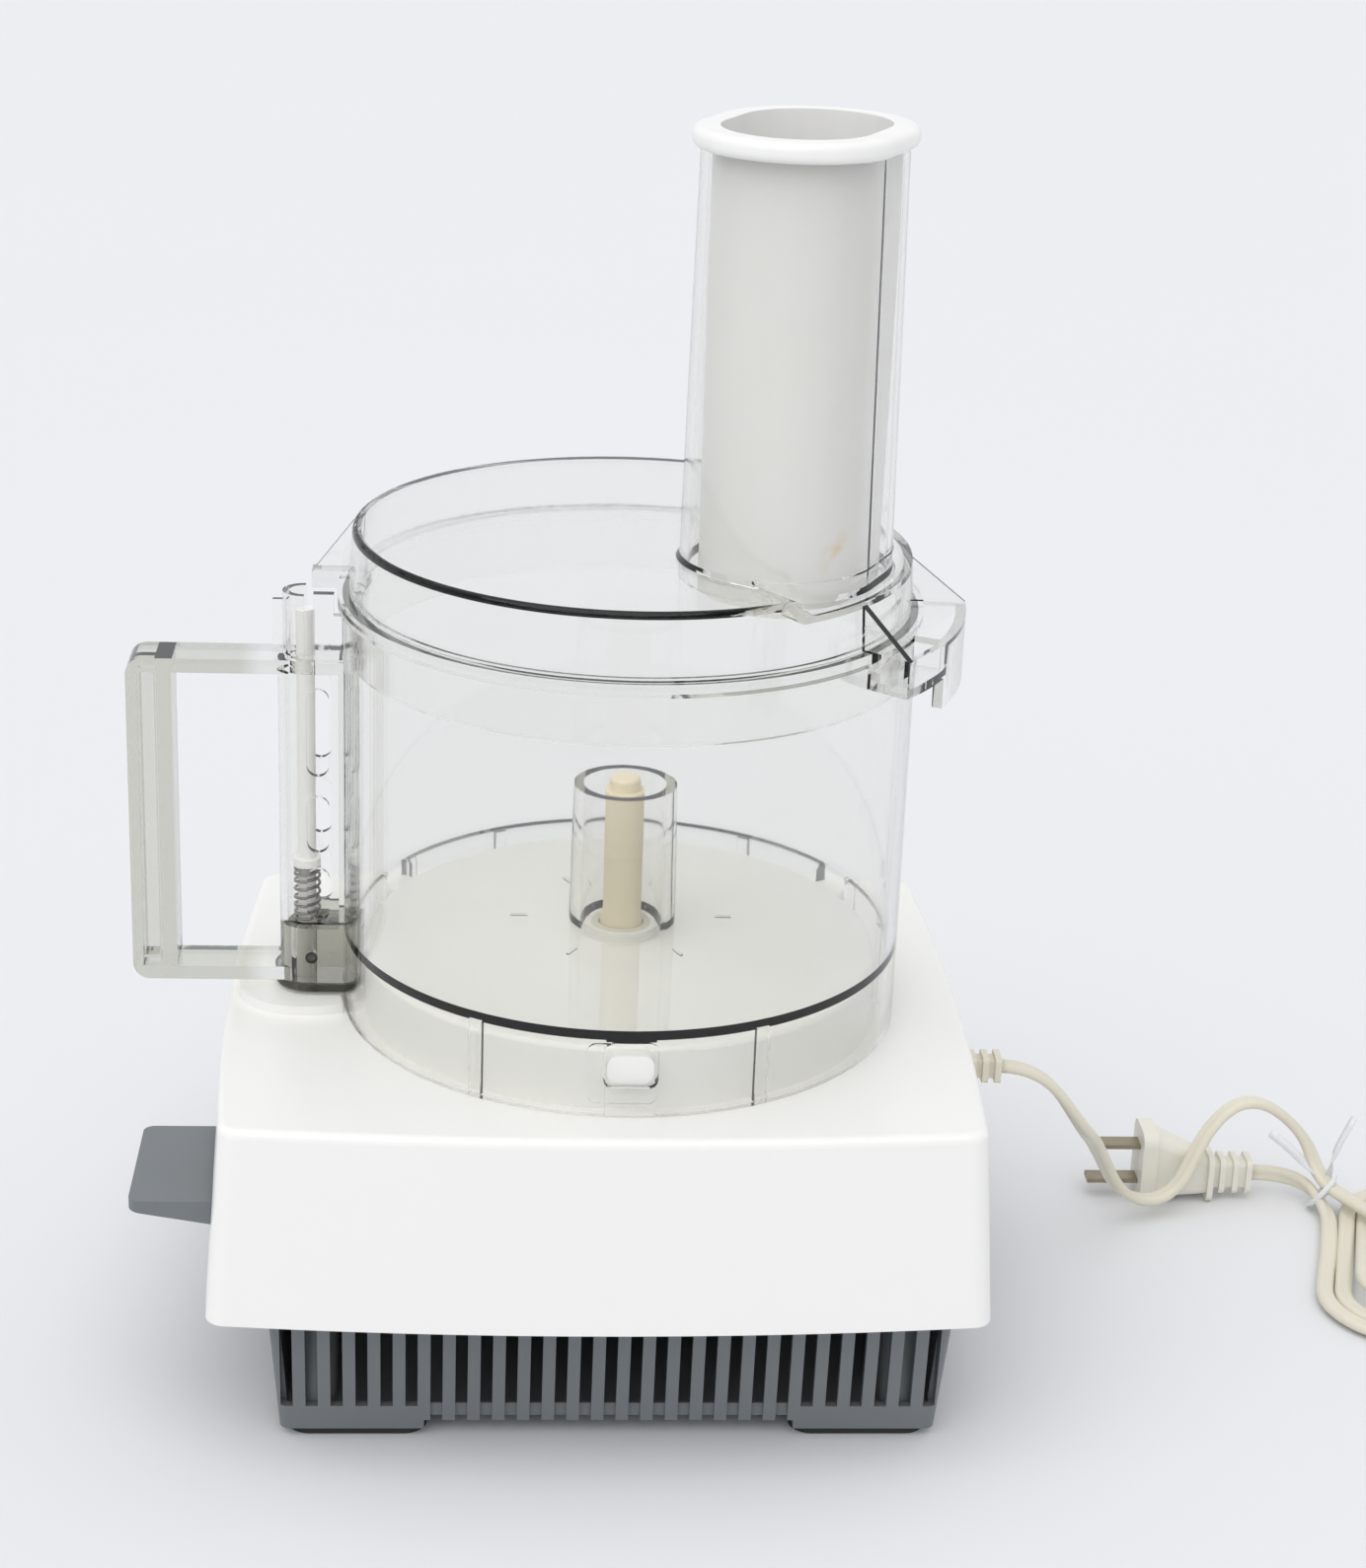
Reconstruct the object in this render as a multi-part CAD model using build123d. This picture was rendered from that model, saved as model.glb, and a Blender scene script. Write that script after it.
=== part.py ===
from build123d import *
import os
from math import asin, cos, degrees, pi, radians, sin, tan

# Food processor, in millimetres. X runs from the lever at the front to the cord at the rear, Z is up.
# Shapes are drawn about the drive axis and moved by DRIVE_X, so that the origin is under the middle.

# Clearances
SEAT_GAP = 0.1
SLIDE_GAP = 0.3
RUN_GAP = 0.04
FIT_GAP = 0.02
CUT = 1.0

# Housing: height of the deck, of the lower lip, and reach of the deck's edges from the drive axis
DECK_Z = 104.6
LIP_Z = 46.2
WALL = 3.0
FLARE_DEG = 4.0
DECK_FRONT = 116.4
DECK_REAR = 102.7
DECK_SIDE = 97.0
FRONT_SAG = 4.0
REAR_SAG = 3.3
SIDE_SAG = 5.5
CORNER_R = 6.0
DECK_EDGE_R = 2.6
HUB_GAP = 3.2
HUB_H = 18.8
HUB_EDGE_R = 1.5
COLLAR_R = 10.6
COLLAR_H = 6.0
LUG_ANGLES = (-90, 30, 150)
LUG_OUT = 4.6
LUG_W = 13.0
LUG_LOW = 9.5
LUG_HIGH = 18.0
LUG_CORNER_R = 3.0
PAD_H = 3.0
PAD_REACH = 14.0
PAD_W = 36.0

# Grille tray under the housing
FOOT_H = 3.0
TRAY_FRONT = 100.8
TRAY_REAR = 95.2
TRAY_SIDE = 85.0
TRAY_END_TAPER = 3.2
TRAY_SIDE_TAPER = 5.0
TRAY_WALL = 2.6
TRAY_CORNER_R = 3.0
TRAY_FLOOR_T = 2.5
RAIL_H = 4.0
CHANNEL_H = 4.0
FLANGE_T = 2.4
SLOT_COUNT = 27
SLOT_BLOCK_COUNT = 6
SLOT_PITCH = 7.12
SLOT_W = 3.5
SLOT_GROOVE = 0.9
NUB_H = 1.0
PEDESTAL_Y = 42.0
FOOT_L = 40.0
FOOT_W = 26.0
FOOT_INSET = 2.0
FOOT_RECESS = 1.0
POST_X = 87.0
POST_REAR_X = 81.0
POST_Y = 72.0
POST_R = 5.0
BOSS_R = 6.0
BOSS_TOP = 42.0
SCREW_R = 1.9
SCREW_HEAD_R = 3.6
SCREW_HEAD_H = 2.4
SCREW_BITE = 18.0

# Motor
SHAFT_R = 5.0
SHAFT_TOP = 168.0
FAN_Z = 11.6
FAN_H = 8.0
FAN_R = 40.0
FAN_BLADES = 9
FAN_HUB_R = 11.0
FAN_BLADE_T = 1.6
FAN_PLATE_T = 1.6
BRACKET_T = 4.0
LOWER_BRACKET_Z = 22.6
LEG_H = 12.0
STACK_H = 40.0
STACK_W = 92.0
STACK_CORNER_R = 9.0
STATOR_BORE_R = 26.0
SLOT_OUTER_R = 37.0
AIR_GAP = 0.5
WINDING_H = 9.0
WINDING_GAP = 1.5
BOLT_SPREAD = 38.5
BOLT_R = 2.4
BOLT_HEAD_R = 4.4
BOLT_HEAD_H = 3.4
BOLT_BITE = 16.0
LEG_R = 6.5
STANDOFF_R = 6.0
BEARING_R = 11.0
BEARING_H = 8.0
BEARING_SHELL = 3.0
VENT_R = 11.0
VENT_AT = 29.0
WASHER_R = 9.0
ROTOR_RING_H = 4.0
ROTOR_RING_R = 22.0
CAP_R = 15.0
CAP_L = 52.0
CAP_X = 64.0
CLIP_T = 1.4
CLIP_W = 14.0
CLIP_FOOT = 6.0

# Drive sheath that the tools drop over
SHEATH_R = 6.4
SHEATH_TIP_R = 4.6
SHEATH_TOP = 175.0
SHEATH_TIP_H = 4.0
SHEATH_BORE_H = 56.0
SHEATH_FLAT = 5.6
SEAL_R = 9.0
SEAL_H = 2.5

# Control lever and its switch
LEVER_Y = -54.5
LEVER_W = 46.0
LEVER_REACH = 139.2
LEVER_TOP = 75.0
LEVER_TIP_T = 3.2
LEVER_ROOT_T = 8.0
LEVER_AXIS_X = 106.0
LEVER_AXIS_Z = 71.0
LEVER_SWING = 6.0
LEVER_HUB_R = 5.0
PIVOT_R = 2.0
PIVOT_LUG_T = 4.0
PIVOT_LUG_W = 12.0
ARM_L = 15.0
ARM_W = 12.0
ARM_NOSE_R = 3.0
BUTTON_R = 2.6
BUTTON_L = 13.0
BUTTON_OUT = 5.0
SWITCH_L = 26.0
SWITCH_W = 16.0
SWITCH_MOUNT_T = 2.0

# Bowl
BOWL_R = 82.5
BOWL_WALL = 2.8
SKIRT_WALL = 3.3
RIM_Z = 228.1
BOWL_FLOOR_Z = 130.3
BOWL_FLOOR_T = 3.0
TUBE_TOP_Z = 172.9
TUBE_TOP_R = 15.0
TUBE_BASE_R = 15.6
TUBE_IN_R = 12.2
WINDOW_W = 15.4
WINDOW_RIM = 4.6
WINDOW_RIM_H = 0.8
WINDOW_DROP = 4.6
GROOVE_ROOM = 0.4
RIB_COUNT = 6
RIB_TURN = -2.4
RIB_W = 4.0
RIB_D = 1.5
TICK_R = 28.0
TICK_L = 5.0
TICK_W = 0.9
TICK_H = 0.4
TICK_COUNT = 6

# Handle and the interlock column beside the bowl
HANDLE_REACH = 144.0
HANDLE_TOP = 211.3
HANDLE_BOTTOM = 111.4
HANDLE_W = 15.0
HANDLE_BAR = 13.0
HANDLE_T = 4.2
HANDLE_CORNER_R = 5.0
HANDLE_GROOVE_AT = 3.0
HANDLE_GROOVE_W = 5.0
HANDLE_WEB = 3.0
COLUMN_R = 9.0
COLUMN_AT = 9.7
COLUMN_WALL = 2.0
COLUMN_FLOOR_Z = 128.2
COLUMN_SLOTS = ((176.5, 203.1), (152.8, 170.1), (131.2, 147.6))
COLUMN_SLOT_AT = 6.9
COLUMN_SLOT_W = 6.5
ENDCAP_TOP = 130.6
ENDCAP_BOTTOM = 108.4
ENDCAP_WALL = 1.6
ENDCAP_FLOOR = 2.4
ENDCAP_EDGE_R = 1.2
CAP_SCREW_AT = 9.0
CAP_SCREW_Z = 119.9
CAP_SCREW_R = 1.2
CAP_SCREW_HEAD_R = 1.8
CAP_SCREW_HEAD_H = 1.2
CAP_SCREW_L = 6.5
POST_TOP = 230.2
GUARD_R = 6.4
GUARD_T = 2.0
FIN_OUT = 2.8
FIN_T = 1.6
FIN_TOP = 227.5
STOP_TOP = 231.5
STOP_W = 5.8
STOP_AT = 2.1
STOP_T = 3.0
STOP_FRONT = 8.6

# Push rod, interlock plunger and their springs
ROD_AT = 10.7
ROD_R = 2.7
ROD_TOP = 224.7
ROD_TRAVEL = 6.0
ROD_COLLAR_R = 4.1
ROD_COLLAR_Z = 145.8
ROD_COLLAR_T = 2.4
PLUNGER_R = 2.6
PLUNGER_L = 13.0
STEM_R = 1.4
STEM_L = 16.0
SPRING_WIRE = 0.9
SPRING_R = 3.7
SPRING_TURNS = 8
PLUNGER_SPRING_R = 2.15
PLUNGER_SPRING_TURNS = 4
MICRO_L = 20.0
MICRO_W = 9.0
MICRO_H = 20.0
RIB_PLATE_T = 3.0

# Cover with its feed tube
COVER_TOP = 250.4
COVER_TOP_IN = 2.8
COVER_FOOT_IN = 1.6
COVER_T = 2.5
COVER_EDGE_R = 1.6
COVER_FLANGE_OUT = 1.5
COVER_FLANGE_H = 3.8
COVER_SKIRT_GAP = 0.5
COVER_SKIRT_T = 2.2
COVER_SKIRT_Z = 213.2
LEDGE_DROP = 4.6
LEDGE_FROM = -54
LEDGE_TO = 16
LEDGE_W = 31.7
RAMP_L = 7.0
FEED_IN = 32.7
FEED_ANGLE = -26.5
FEED_BASE_B = 27.4
FEED_TOP_B = 25.6
FEED_STRETCH = 7.0
FEED_TOP = 363.2
FEED_WALL = 2.4
FEED_BEAD = 1.4
TAB_FROM = -41.0
TAB_TO = -3.0
TAB_OUT = 12.0
TAB_T = 2.2
TAB_RIB_T = 2.2
TAB_RIB_TOP = 245.0
HOOK_BOX_TO = -25.2
HOOK_DROP = 8.2
HOOK_LEG_T = 3.0
HOOK_LEG_DROP = 17.0
HOOK_LEG_FROM = -27.6
HOOK_LEG_TO = -4.0
WING_Y = 12.0
WING_T = 2.2
WING_OUT = 8.0
WING_FOOT_W = 8.0
WING_FOOT_H = 4.6
WING_TOP = 247.5

# Pusher
PUSHER_GAP = 0.8
PUSHER_WALL = 1.8
PUSHER_BOTTOM = 240.0
PUSHER_BASE_SLIM = 0.5
PUSHER_RIM_B = 28.1
PUSHER_RIM_H = 5.6
PUSHER_RIM_R = 2.4

# Cord, strain relief and plug
CORD_D = 5.0
RELIEF_Y = 4.0
RELIEF_Z = 79.2
RELIEF_W = 8.6
RELIEF_H = 8.4
RELIEF_NECK = 1.4
RELIEF_OUT = 14.0
RELIEF_RIBS = 4
RELIEF_RIB_T = 1.9
RELIEF_FLANGE = 3.0
PLUG_X = 180.0
PLUG_Y = 68.5
PLUG_FLANGE_T = 5.0
PLUG_H = 26.0
PLUG_W = 17.0
PLUG_BODY_H = 23.0
PLUG_BODY_W = 14.5
PLUG_BODY_L = 20.0
PLUG_NECK_H = 12.6
PLUG_NECK_W = 10.0
PLUG_NECK_L = 13.4
PLUG_NECK_Z = 8.6
PLUG_COLLAR = 2.2
PLUG_RIBS = 3
BLADE_L = 17.0
BLADE_W = 6.3
BLADE_T = 1.5
BLADE_PITCH = 12.7
BLADE_ROOT = 4.0

# Way of the cord from the strain relief to the hank, and from the hank to the plug
LEAD_POINTS = (
    (149.2, 9.9, 52.7),
    (156.1, 30.1, 40.2),
    (171.0, 48.8, 8.7),
    (190.1, 54.5, 5.5),
    (201.2, 61.6, 30.7),
    (216.6, 66.1, 39.1),
    (236.1, 69.0, 23.7),
)
TAIL_POINTS = ((235.0, 68.5, 8.6), (242.5, 52.0, 2.9))
LEAD_IN = 13.0
LEAD_OUT = 18.8
TAIL_IN = 17.0
BEND_SHARE = 0.45

# Hank: loops of the spare cord, lying on the floor beside the plug
HANK_X = 259.6
HANK_Y = 19.6
HANK_TURN = -16.0
HANK_LOW = 2.9
HANK_LAYER = 5.8
HANK_PITCH = 5.8
HANK_HALF = 26.0
HANK_START = (-16.0, 22.0)
HANK_HEADING = -45.0
HANK_CROSS_R = 20.0
HANK_TOP_U = 20.0
HANK_TOP_R = 16.5
HANK_DROP_L = 25.0
HANK_LOBE_R = 15.0
HANK_LOBES = 4
HANK_END_V = -8.0

# Tie round the lead and the tail
TIE_T = 0.6
TIE_W = 3.0
TIE_CLEAR = 1.0
TIE_LEAD_BACK = 17.0
TIE_TAIL_ON = 24.5
TIE_WIRE_R = 0.8
TIE_KNOT_R = 1.4
TIE_ENDS = (((236.0, 60.5, 21.5), (224.0, 62.0, 26.0)), ((250.0, 60.0, 23.0), (251.0, 60.0, 33.0)))

# Derived places
FLARE = tan(radians(FLARE_DEG))
LIP_GROW = (DECK_Z - LIP_Z) * FLARE
DRIVE_X = (HANDLE_REACH - DECK_REAR - LIP_GROW) / 2
HUB_TOP = DECK_Z + HUB_H
COLLAR_TOP = HUB_TOP + COLLAR_H
TRAY_FLOOR = FOOT_H + CHANNEL_H + TRAY_FLOOR_T
CAP_Z = TRAY_FLOOR + CAP_R + FIT_GAP
LEGS_LOW = LOWER_BRACKET_Z + BRACKET_T
STACK_Z = LEGS_LOW + LEG_H
STACK_TOP = STACK_Z + STACK_H
UPPER_BRACKET_Z = STACK_TOP + LEG_H
UPPER_BRACKET_TOP = UPPER_BRACKET_Z + BRACKET_T
BOWL_BOTTOM = DECK_Z + SEAT_GAP
BOWL_UNDER = BOWL_FLOOR_Z - BOWL_FLOOR_T
BOWL_IN_R = BOWL_R - BOWL_WALL
SKIRT_IN_R = BOWL_R - SKIRT_WALL
HUB_R = SKIRT_IN_R - HUB_GAP
LUG_R = HUB_R + LUG_OUT
COLUMN_X = BOWL_R + COLUMN_AT
COLUMN_SLOT_X = BOWL_R + COLUMN_SLOT_AT
CAP_SCREW_X = BOWL_R + CAP_SCREW_AT
ROD_X = BOWL_R + ROD_AT
COVER_TOP_R = BOWL_R - COVER_TOP_IN
COVER_FOOT_R = BOWL_R - COVER_FOOT_IN
COVER_FLANGE_R = BOWL_R + COVER_FLANGE_OUT
LEDGE_IN_R = COVER_TOP_R - LEDGE_W
FEED_R = COVER_TOP_R - FEED_IN
TAB_R = COVER_FLANGE_R + TAB_OUT
WING_REACH = COVER_FLANGE_R + WING_OUT
COVER_LOW = RIM_Z + SEAT_GAP
COVER_FLANGE_TOP = COVER_LOW + COVER_FLANGE_H
COVER_SKIRT_R = BOWL_IN_R - COVER_SKIRT_GAP
LEDGE_Z = COVER_TOP - LEDGE_DROP
PLUNGER_TOP = DECK_Z + PAD_H + SLIDE_GAP
ROD_BOTTOM = PLUNGER_TOP + SLIDE_GAP
PLUNGER_HEAD_Z = PLUNGER_TOP - PLUNGER_L
MICRO_TOP = PLUNGER_HEAD_Z - ROD_TRAVEL - PLUNGER_SPRING_TURNS * SPRING_WIRE - CUT
COLUMN_TOP = HANDLE_TOP - HANDLE_T
PUSHER_B = FEED_TOP_B - FEED_WALL - PUSHER_GAP
PIVOT_L = LEVER_W + 2 * SLIDE_GAP + 2 * PIVOT_LUG_T
RELIEF_WALL_X = DECK_REAR + (DECK_Z - RELIEF_Z) * FLARE
CORD_EXIT_X = RELIEF_WALL_X + RELIEF_OUT
PLUG_Z = PLUG_H / 2
PLUG_END_X = PLUG_X + PLUG_FLANGE_T + PLUG_BODY_L + PLUG_NECK_L


def block(x0, x1, y0, y1, z0, z1):
    """Box between two corners."""
    return Pos((x0 + x1) / 2, (y0 + y1) / 2, (z0 + z1) / 2) * Box(x1 - x0, y1 - y0, z1 - z0)


def drum(radius, z0, z1, x=0.0, y=0.0):
    """Upright cylinder between two heights."""
    return Pos(x, y, z0) * extrude(Circle(radius), z1 - z0)


def ring(outer, inner, z0, z1, x=0.0, y=0.0):
    """Upright tube between two heights."""
    return drum(outer, z0, z1, x, y) - drum(inner, z0 - CUT, z1 + CUT, x, y)


def turned(*points):
    """Solid turned about the drive axis from an outline of (radius, height)."""
    return revolve(Plane.XZ * make_face(Polyline(*points, close=True)), Axis.Z)


def slab(points, y0, y1):
    """Plate with an outline of (x, z), between two places along Y."""
    face = make_face(Polyline(*points, close=True))
    return extrude(Plane.XZ.offset(-y1) * face, y1 - y0)


def sector(r0, r1, from_deg, to_deg, z0, z1):
    """Piece of an upright tube between two bearings."""
    a0 = radians(from_deg)
    a1 = radians(to_deg)
    mid = (a0 + a1) / 2
    outline = [
        ThreePointArc(*[(r1 * cos(a), r1 * sin(a)) for a in (a0, mid, a1)]),
        Line((r1 * cos(a1), r1 * sin(a1)), (r0 * cos(a1), r0 * sin(a1))),
        ThreePointArc(*[(r0 * cos(a), r0 * sin(a)) for a in (a1, mid, a0)]),
        Line((r0 * cos(a0), r0 * sin(a0)), (r1 * cos(a0), r1 * sin(a0))),
    ]
    return Pos(0, 0, z0) * extrude(make_face(outline), z1 - z0)


def four_corners(spread):
    """The four corners of a square about the drive axis."""
    return [(sx * spread, sy * spread) for sx in (-1, 1) for sy in (-1, 1)]


def housing_outline(z, inset=0.0):
    """Outline of the housing at a height: four bowed sides with rounded corners."""
    grow = (DECK_Z - z) * FLARE - inset
    front = -DECK_FRONT - grow
    rear = DECK_REAR + grow
    side = DECK_SIDE + grow
    x0 = front + FRONT_SAG
    x1 = rear - REAR_SAG
    y1 = side - SIDE_SAG
    mid = (x0 + x1) / 2
    face = make_face(
        [
            ThreePointArc((x0, -y1), (mid, -side), (x1, -y1)),
            ThreePointArc((x1, -y1), (rear, 0), (x1, y1)),
            ThreePointArc((x1, y1), (mid, side), (x0, y1)),
            ThreePointArc((x0, y1), (front, 0), (x0, -y1)),
        ]
    )
    return Pos(0, 0, z) * fillet(face.vertices(), CORNER_R - min(inset, CORNER_R / 2))


def post_places():
    """Where the four screws hold the tray to the housing."""
    return [(x, y) for x in (-POST_X, POST_REAR_X) for y in (-POST_Y, POST_Y)]


def column_outline(inset, to_x):
    """Plan of the interlock column: round on the outside, open towards the bowl."""
    r = COLUMN_R - inset
    return make_face(
        [
            ThreePointArc((-COLUMN_X, r), (-COLUMN_X - r, 0), (-COLUMN_X, -r)),
            Line((-COLUMN_X, -r), (-to_x, -r)),
            Line((-to_x, -r), (-to_x, r)),
            Line((-to_x, r), (-COLUMN_X, r)),
        ]
    )


def feed_outline(half_width, z):
    """Oval plan of the feed tube at a height, long way round the cover."""
    oval = SlotCenterToCenter(2 * FEED_STRETCH, 2 * half_width)
    place = Rot(0, 0, FEED_ANGLE) * Pos(FEED_R, 0, 0) * Rot(0, 0, 90)
    return Pos(0, 0, z) * place * oval


def feed_half(z):
    """Outer half width of the feed tube at a height."""
    share = (z - LEDGE_Z) / (FEED_TOP - LEDGE_Z)
    return FEED_BASE_B + (FEED_TOP_B - FEED_BASE_B) * share


def housing():
    """White shell: deck, hub with three lugs, posts, lever lugs and switch plate."""
    lip = housing_outline(LIP_Z)
    shell = loft([lip, housing_outline(DECK_Z)], ruled=True)
    shell = fillet(shell.faces().sort_by(Axis.Z)[-1].edges(), DECK_EDGE_R)
    hub = drum(HUB_R, DECK_Z - WALL, HUB_TOP)
    shell += fillet(hub.faces().sort_by(Axis.Z)[-1].edges(), HUB_EDGE_R)
    shell += drum(COLLAR_R, HUB_TOP - WALL, COLLAR_TOP)
    pad = SlotOverall(2 * (PAD_REACH + GUARD_R), PAD_W)
    pad = Pos(-ROD_X, 0, DECK_Z - WALL) * extrude(pad, WALL + PAD_H)
    shell += pad - drum(BOWL_R + CUT, DECK_Z - WALL - CUT, HUB_TOP)
    roof = DECK_Z - WALL
    shell -= loft([housing_outline(LIP_Z - CUT, WALL), housing_outline(roof, WALL)], ruled=True)
    shell -= drum(HUB_R - WALL, roof - CUT, HUB_TOP - WALL)
    for x, y in post_places():
        shell += drum(POST_R, BOSS_TOP, DECK_Z - WALL / 2, x, y)
        shell -= drum(SCREW_R + FIT_GAP, BOSS_TOP - CUT, BOSS_TOP + SCREW_BITE + CUT, x, y)
    for x, y in four_corners(BOLT_SPREAD):
        shell += drum(STANDOFF_R, UPPER_BRACKET_TOP, HUB_TOP - WALL / 2, x, y)
        shell -= drum(BOLT_R + FIT_GAP, UPPER_BRACKET_TOP - CUT, UPPER_BRACKET_TOP + BOLT_BITE + CUT, x, y)
    for angle in LUG_ANGLES:
        shell += Rot(0, 0, angle) * base_lug()
    half = LEVER_W / 2 + SLIDE_GAP
    for y0 in (LEVER_Y - half - PIVOT_LUG_T, LEVER_Y + half):
        low = LEVER_AXIS_Z - PIVOT_LUG_W / 2
        x0 = -LEVER_AXIS_X - PIVOT_LUG_W / 2
        shell += block(x0, x0 + PIVOT_LUG_W, y0, y0 + PIVOT_LUG_T, low, DECK_Z - WALL / 2)
    shell -= pivot_place() * Cylinder(PIVOT_R + FIT_GAP, PIVOT_L + 2 * CUT)
    swing = LEVER_ROOT_T / 2 + (LEVER_REACH - LEVER_AXIS_X) * tan(radians(LEVER_SWING)) / 2
    mid_z = LEVER_TOP - LEVER_ROOT_T / 2
    slot_in = -LEVER_AXIS_X - LEVER_HUB_R
    shell -= block(-LEVER_REACH, slot_in, LEVER_Y - half, LEVER_Y + half, mid_z - swing, mid_z + swing)
    plate_y = MICRO_W / 2 + FIT_GAP
    plate_x = ROD_X + MICRO_L / 2
    shell += block(
        -plate_x, -plate_x + MICRO_L, plate_y, plate_y + RIB_PLATE_T, MICRO_TOP - MICRO_H, DECK_Z - WALL / 2
    )
    shell -= drum(PLUNGER_R + SLIDE_GAP, PLUNGER_HEAD_Z - CUT, PLUNGER_TOP, -ROD_X)
    switch_x = -LEVER_AXIS_X + ARM_L
    shell += block(
        switch_x - SWITCH_L / 2,
        switch_x + SWITCH_L / 2,
        LEVER_Y - SWITCH_W / 2,
        LEVER_Y + SWITCH_W / 2,
        DECK_Z - WALL - SWITCH_MOUNT_T,
        DECK_Z - WALL / 2,
    )
    shell -= drum(SHEATH_R + SLIDE_GAP, HUB_TOP - 2 * WALL, COLLAR_TOP + CUT)
    shell -= drum(SEAL_R, COLLAR_TOP - SEAL_H, COLLAR_TOP + CUT)
    neck_w = RELIEF_W - 2 * RELIEF_NECK + 2 * FIT_GAP
    neck_h = RELIEF_H - 2 * RELIEF_NECK + 2 * FIT_GAP
    return shell - Pos(RELIEF_WALL_X, RELIEF_Y, RELIEF_Z) * Box(4 * WALL, neck_w, neck_h)


def pivot_place():
    """Place of the lever's pivot, along Y."""
    return Pos(-LEVER_AXIS_X, LEVER_Y, LEVER_AXIS_Z) * Rot(90, 0, 0)


def base_lug():
    """Bayonet lug that stands out of the hub, drawn on the X side."""
    face = RectangleRounded(LUG_W, LUG_HIGH - LUG_LOW, LUG_CORNER_R)
    middle = (HUB_R - WALL / 2, 0, DECK_Z + (LUG_LOW + LUG_HIGH) / 2)
    place = Plane(middle, x_dir=(0, 1, 0), z_dir=(1, 0, 0))
    return extrude(place * face, LUG_R - HUB_R + WALL / 2)


def tray_outline(z, inset=0.0):
    """Plan of the grille tray, which tapers downwards."""
    share = (LIP_Z - z) / (LIP_Z - FOOT_H)
    end = TRAY_END_TAPER * share + inset
    side = 2 * (TRAY_SIDE - TRAY_SIDE_TAPER * share - inset)
    length = TRAY_FRONT + TRAY_REAR - 2 * end
    corner = max(TRAY_CORNER_R - inset, TRAY_CORNER_R / 4)
    return Pos((TRAY_REAR - TRAY_FRONT) / 2, 0, z) * RectangleRounded(length, side, corner)


def slot_places():
    """Middles of the slots along X."""
    first = (TRAY_REAR - TRAY_FRONT) / 2 - SLOT_PITCH * (SLOT_COUNT - 1) / 2
    return [first + SLOT_PITCH * i for i in range(SLOT_COUNT)]


def foot_places():
    """Middles of the four foot pads."""
    x0 = -TRAY_FRONT + TRAY_END_TAPER + FOOT_INSET + FOOT_L / 2
    x1 = TRAY_REAR - TRAY_END_TAPER - FOOT_INSET - FOOT_L / 2
    y = TRAY_SIDE - TRAY_SIDE_TAPER - FOOT_INSET - FOOT_W / 2
    return [(sx, sy) for sx in (x0, x1) for sy in (-y, y)]


def base_grille():
    """Grey tray: slotted sides, four pedestals, bosses for the screws and a closing flange."""
    top = LIP_Z + FLANGE_T
    tray = loft([tray_outline(FOOT_H), tray_outline(top)], ruled=True)
    lip_inset = WALL + SLIDE_GAP
    tray += extrude(housing_outline(LIP_Z + SEAT_GAP, lip_inset), FLANGE_T)
    hollow = [tray_outline(TRAY_FLOOR, TRAY_WALL), tray_outline(top + CUT, TRAY_WALL)]
    tray -= loft(hollow, ruled=True)
    under = FOOT_H + CHANNEL_H
    places = slot_places()
    x0 = (places[SLOT_BLOCK_COUNT - 1] + places[SLOT_BLOCK_COUNT]) / 2
    x1 = (places[-SLOT_BLOCK_COUNT] + places[-SLOT_BLOCK_COUNT - 1]) / 2
    inner_y = TRAY_SIDE - TRAY_SIDE_TAPER - TRAY_WALL
    tray -= block(x0, x1, -inner_y, inner_y, FOOT_H - CUT, under)
    tray -= block(x0, x1, -TRAY_SIDE, TRAY_SIDE, FOOT_H - CUT, under - NUB_H)
    tray -= block(-TRAY_FRONT, TRAY_REAR, -PEDESTAL_Y, PEDESTAL_Y, FOOT_H - CUT, under)
    cuts = []
    low = under + RAIL_H
    face_y = TRAY_SIDE - TRAY_SIDE_TAPER
    for i, x in enumerate(places):
        for side in (-1, 1):
            through = sorted((side * (inner_y - CUT), side * (TRAY_SIDE + CUT)))
            shallow = sorted((side * (face_y - SLOT_GROOVE), side * TRAY_SIDE))
            x0 = x - SLOT_W / 2
            cuts.append(block(x0, x0 + SLOT_W, *through, low, LIP_Z - SEAT_GAP))
            if SLOT_BLOCK_COUNT <= i < SLOT_COUNT - SLOT_BLOCK_COUNT:
                cuts.append(block(x0, x0 + SLOT_W, *through, FOOT_H, under))
                cuts.append(block(x0, x0 + SLOT_W, *shallow, under - CUT, low + CUT))
    tray -= cuts
    for x, y in post_places():
        tray += drum(BOSS_R, TRAY_FLOOR - TRAY_FLOOR_T / 2, BOSS_TOP - SEAT_GAP, x, y)
        tray -= drum(SCREW_R + SLIDE_GAP, FOOT_H - CUT, BOSS_TOP + CUT, x, y)
        tray -= drum(SCREW_HEAD_R + SLIDE_GAP, FOOT_H - CUT, under + SCREW_HEAD_H, x, y)
    for x, y in foot_places():
        tray -= Pos(x, y, FOOT_H - CUT) * extrude(foot_pad_outline(SLIDE_GAP), CUT + FOOT_RECESS)
    return tray


def foot_pad_outline(grow=0.0):
    """Plan of a foot pad."""
    return RectangleRounded(FOOT_L + 2 * grow, FOOT_W + 2 * grow, FOOT_W / 4)


def rubber_feet():
    """Four pads let into the pedestals, with room round the screw heads."""
    feet = []
    for x, y in foot_places():
        pad = Pos(x, y, 0) * extrude(foot_pad_outline(), FOOT_H + FOOT_RECESS - FIT_GAP)
        for sx, sy in post_places():
            pad -= drum(SCREW_HEAD_R + SLIDE_GAP, -CUT, FOOT_H + FOOT_RECESS + CUT, sx, sy)
        feet.append(pad)
    return feet


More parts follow.
